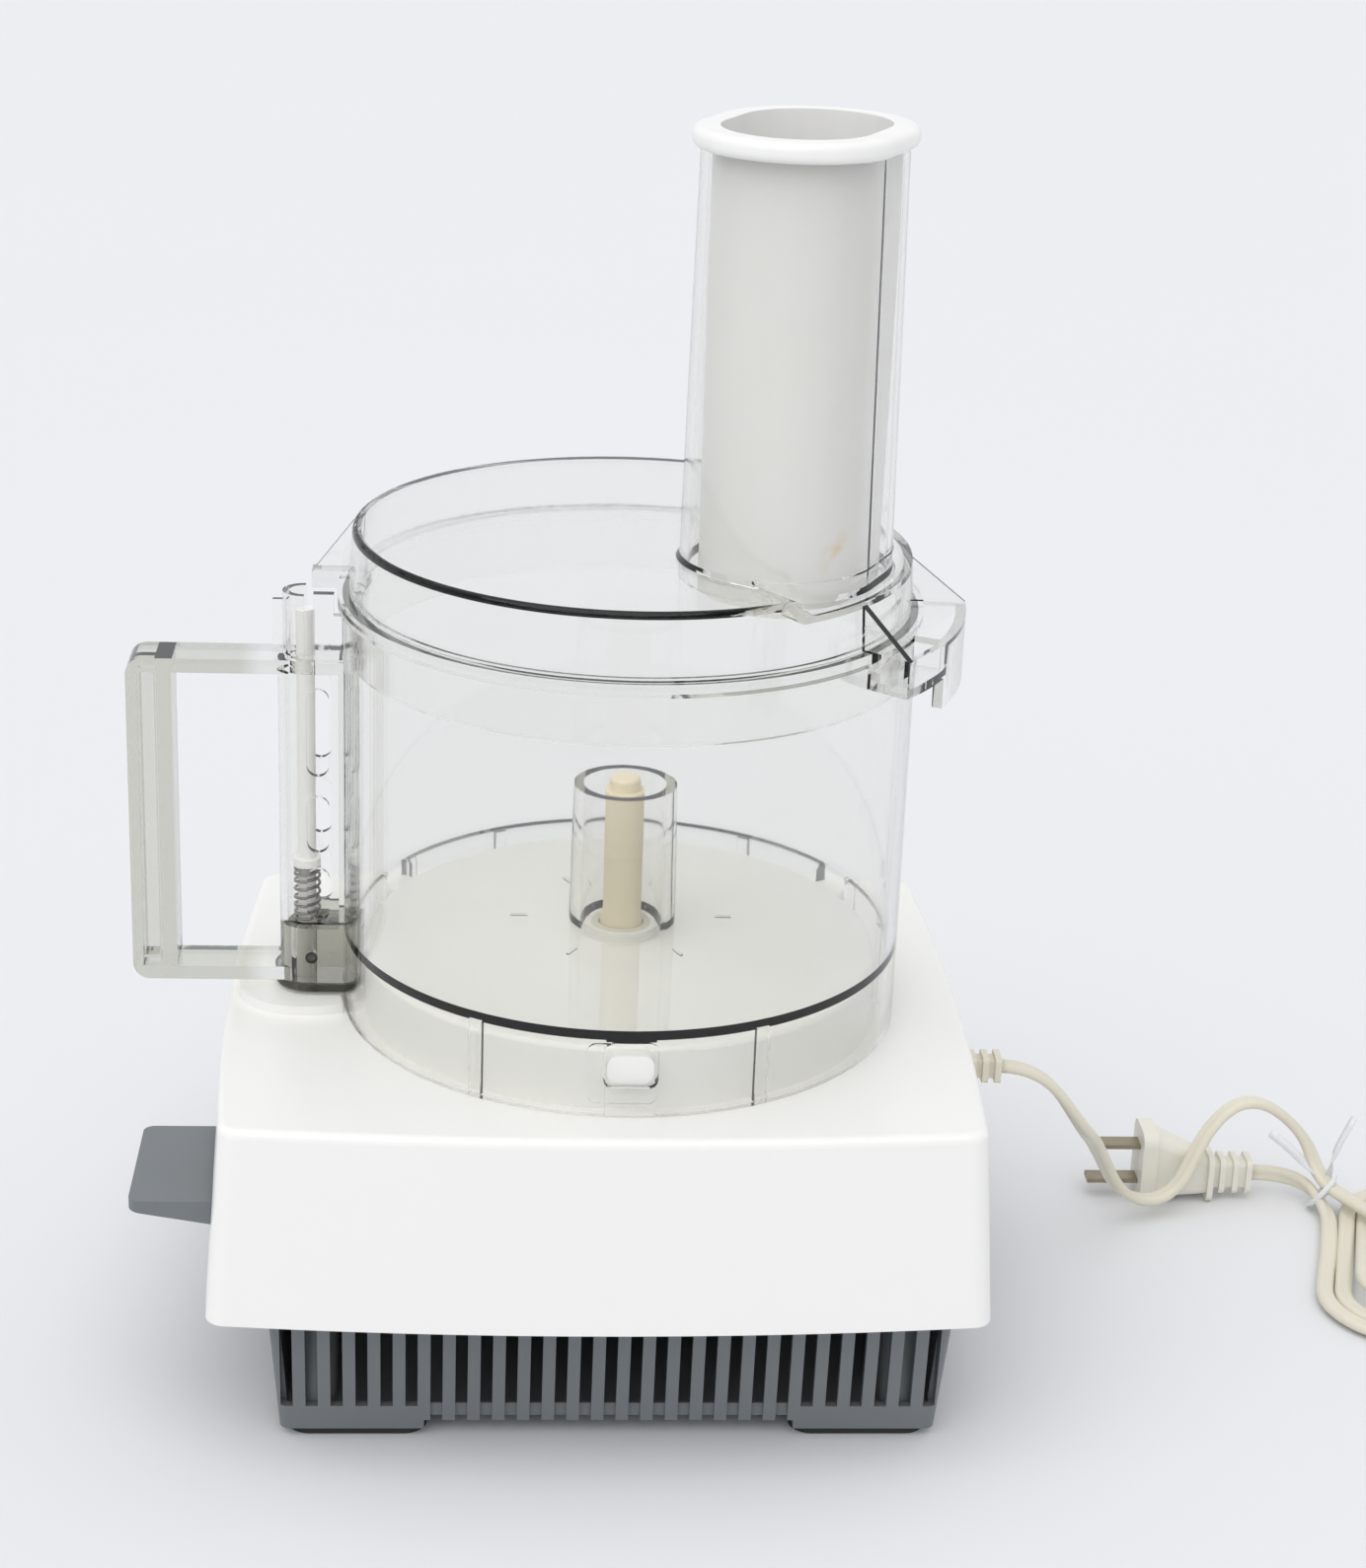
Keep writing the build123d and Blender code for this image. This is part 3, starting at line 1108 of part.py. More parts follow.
def plug_body():
    """Moulded plug lying on its edge, with a flange, a grip that slopes to the floor and a ribbed neck."""
    def section(x, w, h, z):
        return Plane((x, PLUG_Y, z), x_dir=(0, 1, 0), z_dir=(1, 0, 0)) * RectangleRounded(w, h, w / 4)

    grip_x = PLUG_X + PLUG_FLANGE_T
    neck_x = grip_x + PLUG_BODY_L
    body = extrude(section(PLUG_X, PLUG_W, PLUG_H, PLUG_Z), PLUG_FLANGE_T)
    grip = section(grip_x, PLUG_BODY_W, PLUG_BODY_H, PLUG_Z)
    body += loft([grip, section(neck_x, PLUG_NECK_W, PLUG_NECK_H, PLUG_NECK_Z)], ruled=True)
    wide = 2 * PLUG_COLLAR
    collar = section(neck_x - RELIEF_RIB_T, PLUG_NECK_W + wide, PLUG_NECK_H + wide, PLUG_NECK_Z)
    body += extrude(collar, RELIEF_RIB_T)
    core = RELIEF_NECK * 2
    body += extrude(section(neck_x, PLUG_NECK_W - core, PLUG_NECK_H - core, PLUG_NECK_Z), PLUG_NECK_L)
    step = PLUG_NECK_L / PLUG_RIBS
    for i in range(PLUG_RIBS):
        x = neck_x + step * (i + 1) - RELIEF_RIB_T
        body += extrude(section(x, PLUG_NECK_W, PLUG_NECK_H, PLUG_NECK_Z), RELIEF_RIB_T)
    for blade in plug_blades(FIT_GAP):
        body -= blade
    return body


def plug_blades(grow=0.0):
    """Two flat blades, or the slots that hold them."""
    blades = []
    for side in (-1, 1):
        z = PLUG_Z + side * BLADE_PITCH / 2
        blade = block(
            PLUG_X - BLADE_L,
            PLUG_X + BLADE_ROOT + grow,
            PLUG_Y - BLADE_W / 2 - grow,
            PLUG_Y + BLADE_W / 2 + grow,
            z - BLADE_T / 2 - grow,
            z + BLADE_T / 2 + grow,
        )
        blades.append(blade)
    return blades


def cord_path(points, label):
    """Straight runs joined by arcs as large as the runs allow."""
    corners = [Vector(*p) for p in points]
    radii = []
    for a, b, c in zip(corners, corners[1:], corners[2:]):
        turn = radians((b - a).get_angle(c - b))
        shorter = min((b - a).length, (c - b).length)
        radii.append(BEND_SHARE * shorter / tan(turn / 2))
    print(label, "radii", [round(r, 1) for r in radii])
    return FilletPolyline(*corners, radius=radii)


def cord_tube(path, label):
    """Round cord along a path."""
    tube = sweep((path ^ 0) * Circle(CORD_D / 2), path=path)
    share = tube.volume / (pi * CORD_D ** 2 / 4 * path.length)
    print(label, "length", round(path.length, 1), "volume share", round(share, 4))
    return tube


class Pen:
    """Draws a path of level runs, arcs to the right and drops."""

    def __init__(self, point, heading):
        self.point = Vector(*point)
        self.heading = heading
        self.edges = []

    def ahead(self):
        return Vector(cos(radians(self.heading)), sin(radians(self.heading)), 0)

    def run(self, length):
        end = self.point + self.ahead() * length
        self.edges.append(Line(self.point, end))
        self.point = end

    def arc(self, radius, turn):
        right = self.ahead().rotate(Axis.Z, -90) * radius
        centre = self.point + right
        middle = centre - right.rotate(Axis.Z, -turn / 2)
        end = centre - right.rotate(Axis.Z, -turn)
        self.edges.append(ThreePointArc(self.point, middle, end))
        self.point = end
        self.heading -= turn

    def drop(self, length, fall):
        radius = (length ** 2 + fall ** 2) / (4 * fall)
        half = asin(length / 2 / radius) / 2
        bend = self.ahead() * (radius * sin(half)) - Vector(0, 0, radius * (1 - cos(half)))
        end = self.point + self.ahead() * length - Vector(0, 0, fall)
        middle = (self.point + end) * 0.5
        self.edges.append(ThreePointArc(self.point, self.point + bend, middle))
        self.edges.append(ThreePointArc(middle, end - bend, end))
        self.point = end


def hank_place():
    """Where the hank's own plan lies on the floor."""
    return Pos(HANK_X, HANK_Y, 0) * Rot(0, 0, HANK_TURN)


def on_floor(point):
    """Place of a point of the hank's plan."""
    return (hank_place() * Pos(*point)).position


def hank_ends():
    """Start of the hank, its heading there, and the end where the tail leaves."""
    left_u = HANK_TOP_U - 2 * HANK_TOP_R
    end_u = left_u - HANK_LOBES / 2 * HANK_PITCH
    start = on_floor((*HANK_START, HANK_LOW + HANK_LAYER))
    end = on_floor((end_u, HANK_END_V, HANK_LOW))
    heading = Vector(1, 0, 0).rotate(Axis.Z, HANK_HEADING + HANK_TURN)
    leaving = Vector(0, 1, 0).rotate(Axis.Z, HANK_TURN)
    return start, heading, end, leaving


def cord_hank():
    """Spare cord: it crosses over the loops, drops a layer, then spirals outwards on the floor."""
    pen = Pen((*HANK_START, HANK_LOW + HANK_LAYER), HANK_HEADING)
    slant = 90 + HANK_HEADING
    across = (HANK_TOP_U - HANK_START[0]) / sin(radians(slant))
    pen.run(across - HANK_CROSS_R * tan(radians(slant / 2)))
    pen.arc(HANK_CROSS_R, slant)
    pen.arc(HANK_TOP_R, 180)
    pen.drop(HANK_DROP_L, HANK_LAYER)
    pen.run(HANK_HALF - pen.point.Y)
    for i in range(HANK_LOBES):
        pen.arc(HANK_LOBE_R + i * HANK_PITCH / 2, 180)
        pen.run(HANK_HALF + HANK_END_V if i == HANK_LOBES - 1 else 2 * HANK_HALF)
    path = hank_place() * Wire(pen.edges)
    print("hank least gap to itself", round(least_gap(path), 2))
    return cord_tube(path, "hank")


def least_gap(path):
    """Least clear distance between stretches of a cord that are not neighbours."""
    steps = int(path.length / CORD_D * 3)
    points = [path.position_at(i / steps) for i in range(steps + 1)]
    apart = int(steps * 4 * CORD_D / path.length)
    gaps = []
    for i, p in enumerate(points):
        gaps += [(q - p).length for q in points[i + apart:]]
    return min(gaps) - CORD_D


def lead_points():
    """Corners of the lead, from the strain relief to the hank."""
    start, heading, _, _ = hank_ends()
    leaving = (CORD_EXIT_X, RELIEF_Y, RELIEF_Z)
    first = (CORD_EXIT_X + LEAD_IN, RELIEF_Y, RELIEF_Z)
    return (leaving, first, *LEAD_POINTS, start - heading * LEAD_OUT, start)


def tail_points():
    """Corners of the tail, from the plug to the hank."""
    _, _, end, leaving = hank_ends()
    return ((PLUG_END_X, PLUG_Y, PLUG_NECK_Z), *TAIL_POINTS, end + leaving * TAIL_IN, end)


def cord_tie():
    """Twist tie round the lead and the tail, with its two ends standing up."""
    lead = cord_path(lead_points(), "lead at the tie")
    tail = cord_path(tail_points(), "tail at the tie")
    lead_share = 1 - TIE_LEAD_BACK / lead.length
    tail_share = TIE_TAIL_ON / tail.length
    on_lead = lead @ lead_share
    on_tail = tail @ tail_share
    along = (lead % lead_share + tail % tail_share).normalized()
    across = on_lead - on_tail
    across -= along * across.dot(along)
    place = Plane((on_tail + on_lead) * 0.5, x_dir=across, z_dir=along)
    inner = CORD_D / 2 + TIE_CLEAR
    band = SlotCenterToCenter(across.length, 2 * (inner + TIE_T))
    band -= SlotCenterToCenter(across.length, 2 * inner)
    tie = extrude(place * band, TIE_W / 2, both=True)
    knot = place.origin + across.normalized() * (across.length / 2 + inner + TIE_T + TIE_KNOT_R - TIE_T / 2)
    tie += Pos(knot) * Sphere(TIE_KNOT_R)
    for middle, end in TIE_ENDS:
        path = ThreePointArc(knot, middle, end)
        tie += sweep((path ^ 0) * Circle(TIE_WIRE_R), path=path)
    return tie


def save(node, shape):
    """Write a node's solids, moved so that the origin is under the middle of the machine."""
    pieces = shape if isinstance(shape, list) else [shape]
    solids = [solid for piece in pieces for solid in piece.solids()]
    body = solids[0] if len(solids) == 1 else Compound(solids)
    export_step(Pos(DRIVE_X, 0, 0) * body, f"parts/{node}.step")
    print(node, len(solids))


os.makedirs("parts", exist_ok=True)
save("housing", housing())
save("base_grille", base_grille())
save("rubber_feet", rubber_feet())
save("base_screws", base_screws())
save("lower_motor_bracket", motor_bracket(LOWER_BRACKET_Z, True))
save("upper_motor_bracket", motor_bracket(UPPER_BRACKET_Z, False))
save("lower_bearing", bearing(LOWER_BRACKET_Z))
save("upper_bearing", bearing(UPPER_BRACKET_Z))
save("stator_core", stator_core())
save("stator_windings", stator_windings())
save("motor_bolts", motor_bolts())
save("rotor", rotor())
save("drive_shaft", drive_shaft())
save("cooling_fan", cooling_fan())
save("thrust_washer", thrust_washer())
save("shaft_sheath", shaft_sheath())
save("shaft_seal", shaft_seal())
save("run_capacitor", run_capacitor())
save("capacitor_clip", capacitor_clip())
save("control_lever", control_lever())
save("lever_pivot_pin", lever_pivot_pin())
save("switch_button", switch_button())
save("main_switch", main_switch())
save("interlock_plunger", interlock_plunger())
save("interlock_switch", interlock_switch())
save("interlock_spring", interlock_spring())
save("work_bowl", work_bowl())
save("handle_end_cap", handle_end_cap())
save("cap_screw", cap_screw())
save("push_rod", push_rod())
save("rod_spring", rod_spring())
save("bowl_cover", cover())
save("pusher", pusher())
save("strain_relief", strain_relief())
save("power_lead", cord_tube(cord_path(lead_points(), "lead"), "lead"))
save("cord_hank", cord_hank())
save("plug_tail", cord_tube(cord_path(tail_points(), "tail"), "tail"))
save("cord_tie", cord_tie())
save("plug_body", plug_body())
save("plug_blades", plug_blades())
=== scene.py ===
import math

import bpy
from mathutils import Matrix, Vector


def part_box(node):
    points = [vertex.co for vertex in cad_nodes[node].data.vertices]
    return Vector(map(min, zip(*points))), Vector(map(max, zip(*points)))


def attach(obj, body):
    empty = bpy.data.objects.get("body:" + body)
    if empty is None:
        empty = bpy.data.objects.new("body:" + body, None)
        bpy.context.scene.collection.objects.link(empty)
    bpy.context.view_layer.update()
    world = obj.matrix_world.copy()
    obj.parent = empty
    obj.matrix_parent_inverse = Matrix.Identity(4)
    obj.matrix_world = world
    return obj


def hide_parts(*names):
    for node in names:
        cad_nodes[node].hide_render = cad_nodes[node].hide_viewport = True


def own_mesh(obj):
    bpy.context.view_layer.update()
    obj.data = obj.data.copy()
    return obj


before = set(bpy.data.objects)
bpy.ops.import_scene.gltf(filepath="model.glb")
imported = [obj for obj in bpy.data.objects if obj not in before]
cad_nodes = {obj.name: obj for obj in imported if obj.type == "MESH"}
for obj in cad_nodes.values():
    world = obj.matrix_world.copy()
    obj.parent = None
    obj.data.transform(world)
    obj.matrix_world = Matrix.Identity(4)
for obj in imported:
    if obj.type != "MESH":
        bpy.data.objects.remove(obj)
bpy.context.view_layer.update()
scene = bpy.context.scene

MM = 0.001
DRIVE_X = 18.608


def place(x, y, z):
    """A point of the machine, in millimetres from the drive axis and the floor, as a point of the frame."""
    return Vector(((x + DRIVE_X) * MM, y * MM, z * MM))


def link(name, data):
    """A new object in the scene."""
    made = bpy.data.objects.new(name, data)
    scene.collection.objects.link(made)
    return made


def mesh_object(name, points, faces, smooth=True):
    """A new mesh object from points and faces."""
    mesh = bpy.data.meshes.new(name)
    mesh.from_pydata([tuple(p) for p in points], [], faces)
    mesh.update()
    for polygon in mesh.polygons:
        polygon.use_smooth = smooth
    return link(name, mesh)


# Camera, where the photograph was taken from

CAMERA_AT = (-42.3, -848.0, 495.9)
CAMERA_PITCH = 20.836
CAMERA_ROLL = 2.214
CAMERA_AHEAD = (0.0698, 0.9976)
CAMERA_LENS = 70.915


def set_camera():
    """Camera with the photograph's place, tilt and lens."""
    pitch = math.radians(CAMERA_PITCH)
    roll = math.radians(CAMERA_ROLL)
    level = math.cos(pitch)
    ahead = Vector((CAMERA_AHEAD[0] * level, CAMERA_AHEAD[1] * level, -math.sin(pitch)))
    level_right = Vector((CAMERA_AHEAD[1], -CAMERA_AHEAD[0], 0))
    level_up = level_right.cross(ahead)
    right = level_right * math.cos(roll) + level_up * math.sin(roll)
    up = level_up * math.cos(roll) - level_right * math.sin(roll)
    lens = bpy.data.cameras.new("photo_camera")
    lens.lens = CAMERA_LENS
    lens.sensor_width = 36
    lens.sensor_fit = "AUTO"
    camera = link("photo_camera", lens)
    turn = Matrix((right, up, -ahead)).transposed().to_4x4()
    camera.matrix_world = Matrix.Translation(place(*CAMERA_AT)) @ turn
    scene.camera = camera


set_camera()


# Materials


class Finish:
    """A node material that is put together one node at a time."""

    def __init__(self, name):
        self.material = bpy.data.materials.new(name)
        self.material.use_nodes = True
        self.tree = self.material.node_tree
        self.tree.nodes.clear()
        self.out = self.node("ShaderNodeOutputMaterial")
        self.shader = self.node("ShaderNodeBsdfPrincipled")
        self.join(self.shader.outputs["BSDF"], self.out.inputs["Surface"])
        self.coords = self.node("ShaderNodeTexCoord").outputs["Object"]

    def node(self, kind, **settings):
        made = self.tree.nodes.new(kind)
        for key, value in settings.items():
            setattr(made, key, value)
        return made

    def join(self, source, target):
        self.tree.links.new(source, target)

    def set(self, **values):
        """Plain values for the shader's own sockets."""
        for key, value in values.items():
            socket = key.replace("_", " ").title().replace("Ior", "IOR")
            self.shader.inputs[socket].default_value = value

    def stretched(self, scale):
        """Object coordinates scaled by a factor for each axis."""
        mapping = self.node("ShaderNodeMapping")
        mapping.inputs["Scale"].default_value = scale
        self.join(self.coords, mapping.inputs["Vector"])
        return mapping.outputs["Vector"]

    def noise(self, scale, detail=3.0, roughness=0.5, coords=None):
        """Soft noise, from 0 to 1."""
        made = self.node("ShaderNodeTexNoise")
        made.inputs["Scale"].default_value = scale
        made.inputs["Detail"].default_value = detail
        made.inputs["Roughness"].default_value = roughness
        self.join(coords or self.coords, made.inputs["Vector"])
        return made.outputs["Fac"]

    def spread(self, value, from_low, from_high, to_low, to_high):
        """A value moved from one range to another, and held inside it."""
        made = self.node("ShaderNodeMapRange")
        for key, number in zip(
            ("From Min", "From Max", "To Min", "To Max"), (from_low, from_high, to_low, to_high)
        ):
            made.inputs[key].default_value = number
        self.join(value, made.inputs["Value"])
        return made.outputs["Result"]

    def blend(self, share, first, second):
        """Two colours mixed by a share. Each is a colour or a socket."""
        made = self.node("ShaderNodeMix", data_type="RGBA")
        self.join(share, made.inputs["Factor"])
        for key, colour in (("A", first), ("B", second)):
            socket = [s for s in made.inputs if s.name == key and s.type == "RGBA"][0]
            if isinstance(colour, tuple):
                socket.default_value = (*colour, 1.0)
            else:
                self.join(colour, socket)
        return [s for s in made.outputs if s.type == "RGBA"][0]

    def specks(self, scale, size):
        """Small scattered dots: 1 inside a dot and 0 outside."""
        cells = self.node("ShaderNodeTexVoronoi")
        cells.inputs["Scale"].default_value = scale
        self.join(self.coords, cells.inputs["Vector"])
        return self.spread(cells.outputs["Distance"], size * 0.6, size, 1.0, 0.0)

    def near(self, centre, radius):
        """1 at a point of the frame, falling to 0 at a distance from it."""
        mapping = self.node("ShaderNodeMapping")
        mapping.inputs["Location"].default_value = tuple(-c for c in centre)
        self.join(self.coords, mapping.inputs["Vector"])
        length = self.node("ShaderNodeVectorMath", operation="LENGTH")
        self.join(mapping.outputs["Vector"], length.inputs[0])
        return self.spread(length.outputs["Value"], radius * 0.15, radius, 1.0, 0.0)

    def times(self, first, second):
        """Product of a socket and a socket or number."""
        made = self.node("ShaderNodeMath", operation="MULTIPLY")
        self.join(first, made.inputs[0])
        if isinstance(second, float):
            made.inputs[1].default_value = second
        else:
            self.join(second, made.inputs[1])
        return made.outputs["Value"]

    def colour(self, socket):
        self.join(socket, self.shader.inputs["Base Color"])

    def roughness(self, value, low, high):
        self.join(self.spread(value, 0.3, 0.7, low, high), self.shader.inputs["Roughness"])

    def bump(self, height, depth, strength=1.0):
        """Relief of a depth in metres."""
        made = self.node("ShaderNodeBump")
        made.inputs["Strength"].default_value = strength
        made.inputs["Distance"].default_value = depth
        self.join(height, made.inputs["Height"])
        self.join(made.outputs["Normal"], self.shader.inputs["Normal"])


PLASTIC_IOR = 1.5
CLEAR_IOR = 1.49


def moulded_plastic(name, colour, rough, mottle=0.03, grain=0.00004, grain_scale=900.0):
    """Moulded plastic: faint mottling, fine grain and uneven gloss."""
    finish = Finish(name)
    soft = finish.noise(14.0, 4.0)
    darker = tuple(c * (1 - mottle) for c in colour)
    finish.colour(finish.blend(finish.spread(soft, 0.35, 0.65, 0.0, 1.0), darker, colour))
    finish.roughness(finish.noise(24.0, 3.0), rough * 0.94, rough * 1.06)
    finish.bump(finish.noise(grain_scale, 2.0), grain)
    finish.set(ior=PLASTIC_IOR)
    return finish


SPECK_BROWN = (0.50, 0.47, 0.41)


def housing_white():
    """Glossy white case with a few faint dark specks."""
    finish = moulded_plastic("housing_white", (0.88, 0.875, 0.855), 0.3, 0.004, 0.000004)
    base = finish.shader.inputs["Base Color"].links[0].from_socket
    patches = finish.spread(finish.noise(7.0), 0.58, 0.64, 0.0, 0.5)
    worn = finish.times(finish.specks(30.0, 0.014), patches)
    finish.colour(finish.blend(worn, base, SPECK_BROWN))
    return finish.material


STAIN_AT = (51.0, -43.5, 257.8)
STAIN_R = 7.5 * MM
STAIN_YELLOW = (0.80, 0.66, 0.40)
PUSHER_DULL = (0.865, 0.86, 0.845)
PUSHER_BRIGHT = (0.90, 0.895, 0.88)


def pusher_white():
    """White pusher with soft upright streaks and one old yellow stain."""
    finish = Finish("pusher_white")
    streaks = finish.noise(60.0, 4.0, 0.6, finish.stretched((1.0, 1.0, 0.04)))
    plain = finish.blend(finish.spread(streaks, 0.35, 0.7, 0.0, 1.0), PUSHER_DULL, PUSHER_BRIGHT)
    ragged = finish.spread(finish.noise(140.0, 4.0), 0.4, 0.62, 0.0, 1.0)
    stain = finish.times(finish.near(place(*STAIN_AT), STAIN_R), ragged)
    finish.colour(finish.blend(stain, plain, STAIN_YELLOW))
    finish.roughness(finish.noise(50.0, 4.0), 0.28, 0.42)
    finish.bump(finish.noise(700.0, 2.0), 0.00002)
    return finish.material


# Painted shade: grey laid into the clear handle's colour, standing in for how dark the thick handle looks
HANDLE_PAINTED_SHADE = (0.78, 0.78, 0.72)
HANDLE_FROM = -106.0
HANDLE_TO = -112.0


def clear_plastic(name, tint, smoke, shadow_tint, depth_colour, depth):
    """See-through plastic that darkens with thickness, with scratches, haze, and painted shade on the handle
    for its darker look through thick plastic.
    """
    finish = Finish(name)
    scratches = finish.noise(420.0, 3.0, 0.6, finish.stretched((1.0, 1.0, 0.06)))
    haze = finish.noise(18.0, 4.0)
    clean = finish.spread(haze, 0.4, 0.7, 0.02, 0.045)
    finish.join(clean, finish.shader.inputs["Roughness"])
    finish.bump(scratches, 0.000012, 0.35)
    hazed = finish.blend(finish.spread(haze, 0.35, 0.7, 0.0, 1.0), tint, smoke)
    parts = finish.node("ShaderNodeSeparateXYZ")
    finish.join(finish.coords, parts.inputs[0])
    # Painted shade over the handle's span of x, in place of its darker look through thick plastic
    handle_shade = finish.spread(parts.outputs["X"], place(HANDLE_TO, 0, 0).x, place(HANDLE_FROM, 0, 0).x, 1.0, 0.0)
    finish.colour(finish.blend(handle_shade, hazed, HANDLE_PAINTED_SHADE))
    finish.set(ior=CLEAR_IOR, transmission_weight=1.0)
    through = finish.node("ShaderNodeBsdfTransparent")
    through.inputs["Color"].default_value = (*shadow_tint, 1.0)
    path = finish.node("ShaderNodeLightPath")
    mix = finish.node("ShaderNodeMixShader")
    finish.join(path.outputs["Is Shadow Ray"], mix.inputs[0])
    finish.join(finish.shader.outputs["BSDF"], mix.inputs[1])
    finish.join(through.outputs["BSDF"], mix.inputs[2])
    finish.join(mix.outputs["Shader"], finish.out.inputs["Surface"])
    body = finish.node("ShaderNodeVolumeAbsorption")
    body.inputs["Color"].default_value = (*depth_colour, 1.0)
    body.inputs["Density"].default_value = depth
    finish.join(body.outputs["Volume"], finish.out.inputs["Volume"])
    return finish.material


def metal(name, colour, rough, lines, tarnish):
    """Metal with fine drawn lines along one axis and a dull film in patches."""
    finish = Finish(name)
    film = finish.noise(120.0, 4.0)
    dull = tuple(c * tarnish for c in colour)
    finish.colour(finish.blend(finish.spread(film, 0.42, 0.7, 0.0, 1.0), colour, dull))
    drawn = finish.noise(900.0, 2.0, 0.5, finish.stretched(lines))
    finish.roughness(drawn, rough * 0.8, rough * 1.3)
    finish.bump(drawn, 0.00001)
    finish.set(metallic=1.0)
    return finish.material


def laminations():
    """Edge of a stack of thin steel sheets."""
    finish = Finish("laminations")
    wave = finish.node("ShaderNodeTexWave", bands_direction="Z")
    wave.inputs["Scale"].default_value = 320.0
    wave.inputs["Distortion"].default_value = 0.3
    finish.join(finish.coords, wave.inputs["Vector"])
    finish.colour(finish.blend(wave.outputs["Fac"], (0.10, 0.10, 0.11), (0.32, 0.31, 0.30)))
    finish.roughness(finish.noise(200.0), 0.35, 0.55)
    finish.bump(wave.outputs["Fac"], 0.00008)
    finish.set(metallic=0.9)
    return finish.material


def tie_paper():
    """White paper-covered tie with faint creases, and painted shade darkening their hollows."""
    finish = Finish("tie_paper")
    crease_height_and_shade = finish.noise(700.0, 3.0)
    # Painted shade: the paper is darker where the crease relief is low
    finish.colour(finish.blend(crease_height_and_shade, (0.74, 0.75, 0.77), (0.86, 0.87, 0.88)))
    finish.roughness(finish.noise(300.0), 0.45, 0.65)
    finish.bump(crease_height_and_shade, 0.0001)
    return finish.material


WHITE = housing_white()
PUSHER = pusher_white()
GREY = moulded_plastic("grille_grey", (0.165, 0.181, 0.194), 0.4, 0.04, 0.00002).material
CLEAR = clear_plastic(
    "clear_plastic", (0.998, 0.998, 0.994), (0.99, 0.99, 0.98), (0.995, 0.995, 0.985), (0.5, 0.5, 0.40), 18.0
)
SMOKY = clear_plastic(
    "smoky_plastic", (0.86, 0.86, 0.83), (0.80, 0.80, 0.77), (0.7, 0.7, 0.67), (0.4, 0.4, 0.35), 220.0
)
CREAM = moulded_plastic("cream_sheath", (0.82, 0.73, 0.54), 0.38, 0.05).material
CORD = moulded_plastic("cord_cream", (0.74, 0.70, 0.58), 0.42, 0.06, 0.00005, 1400.0).material
PLUG = moulded_plastic("plug_cream", (0.77, 0.75, 0.67), 0.4, 0.04, 0.00004).material
BLACK = moulded_plastic("black_plastic", (0.02, 0.02, 0.022), 0.45, 0.2).material
RUBBER = moulded_plastic("rubber", (0.035, 0.035, 0.036), 0.75, 0.2, 0.00006).material
SEAL = moulded_plastic("seal_pale", (0.72, 0.70, 0.63), 0.6, 0.08, 0.00005).material
DARK_STEEL = metal("dark_screw", (0.09, 0.085, 0.08), 0.4, (1.0, 1.0, 1.0), 0.6)
STEEL = metal("steel", (0.62, 0.61, 0.59), 0.28, (1.0, 1.0, 0.05), 0.75)
CORE = laminations()
SPRING_STEEL = metal("spring_wire", (0.34, 0.33, 0.31), 0.32, (1.0, 1.0, 1.0), 0.7)
COPPER = metal("copper_wire", (0.62, 0.26, 0.12), 0.35, (1.0, 1.0, 1.0), 0.6)
ALUMINIUM = metal("cast_aluminium", (0.66, 0.66, 0.66), 0.45, (1.0, 1.0, 1.0), 0.8)
BRONZE = metal("bearing_bronze", (0.50, 0.33, 0.15), 0.4, (1.0, 1.0, 0.2), 0.7)
BRASS = metal("dull_brass", (0.36, 0.31, 0.22), 0.38, (0.05, 1.0, 1.0), 0.6)
PAPER = tie_paper()

NODE_FINISHES = {
    WHITE: ("housing",),
    PUSHER: ("pusher", "push_rod"),
    GREY: ("base_grille", "control_lever"),
    CLEAR: ("work_bowl", "bowl_cover"),
    SMOKY: ("handle_end_cap",),
    CREAM: ("shaft_sheath",),
    CORD: ("strain_relief",),
    PLUG: ("plug_body",),
    BLACK: ("cooling_fan", "main_switch", "switch_button", "interlock_switch", "interlock_plunger"),
    RUBBER: ("rubber_feet",),
    SEAL: ("shaft_seal",),
    DARK_STEEL: ("cap_screw",),
    STEEL: (
        "base_screws", "motor_bolts", "drive_shaft", "thrust_washer", "lever_pivot_pin", "capacitor_clip",
    ),
    CORE: ("stator_core", "rotor"),
    ALUMINIUM: ("lower_motor_bracket", "upper_motor_bracket", "run_capacitor"),
    BRONZE: ("lower_bearing", "upper_bearing"),
    BRASS: ("plug_blades",),
}


def finish_nodes():
    """Give every carried-over node its material."""
    for material, names in NODE_FINISHES.items():
        for name in names:
            node = cad_nodes[name]
            if not node.material_slots:
                node.data.materials.append(material)
            for slot in node.material_slots:
                slot.material = material


finish_nodes()


# Cord: a flat twin lead from the strain relief, through the hank, to the plug

CORD_WIDE = 5.6
CORD_THICK = 3.3
EDGE_FROM = 50.0 * MM
EDGE_OVER = 45.0 * MM
HANK_AT = (259.1, 19.6)
HANK_TURN = -16.0
HANK_LOW = 2.9
HANK_HIGH = 8.7
LEAD_ROUTE = (
    (118.476, 4.0, 79.2),
    (131.476, 4.0, 79.2),
    (149.2, 9.9, 52.7),
    (156.1, 30.1, 40.2),
    (171.0, 48.8, 8.7),
    (190.1, 54.5, 5.5),
    (201.2, 61.6, 30.7),
    (216.6, 66.1, 39.1),
    (236.1, 69.0, 23.7),
    (241.170, 61.601, 8.7),
    (250.284, 45.158, 8.7),
)
TAIL_ROUTE = (
    (233.748, 18.691, 2.9),
    (238.434, 35.032, 2.9),
    (242.5, 52.0, 2.9),
    (235.0, 68.5, 8.6),
    (218.4, 68.5, 8.6),
)
# Each lobe of the hank in its own plan: centre, radius, angle where it starts, height
HANK_LOBES = (
    (3.5, -22.28, 16.5, 0.0, HANK_HIGH),
    (2.0, 26.0, 15.0, 180.0, HANK_LOW),
    (-0.9, -26.0, 17.9, 0.0, HANK_LOW),
    (2.0, 26.0, 20.8, 180.0, HANK_LOW),
    (-0.9, -26.0, 23.7, 0.0, HANK_LOW),
)
LOBE_STEP = 45.0


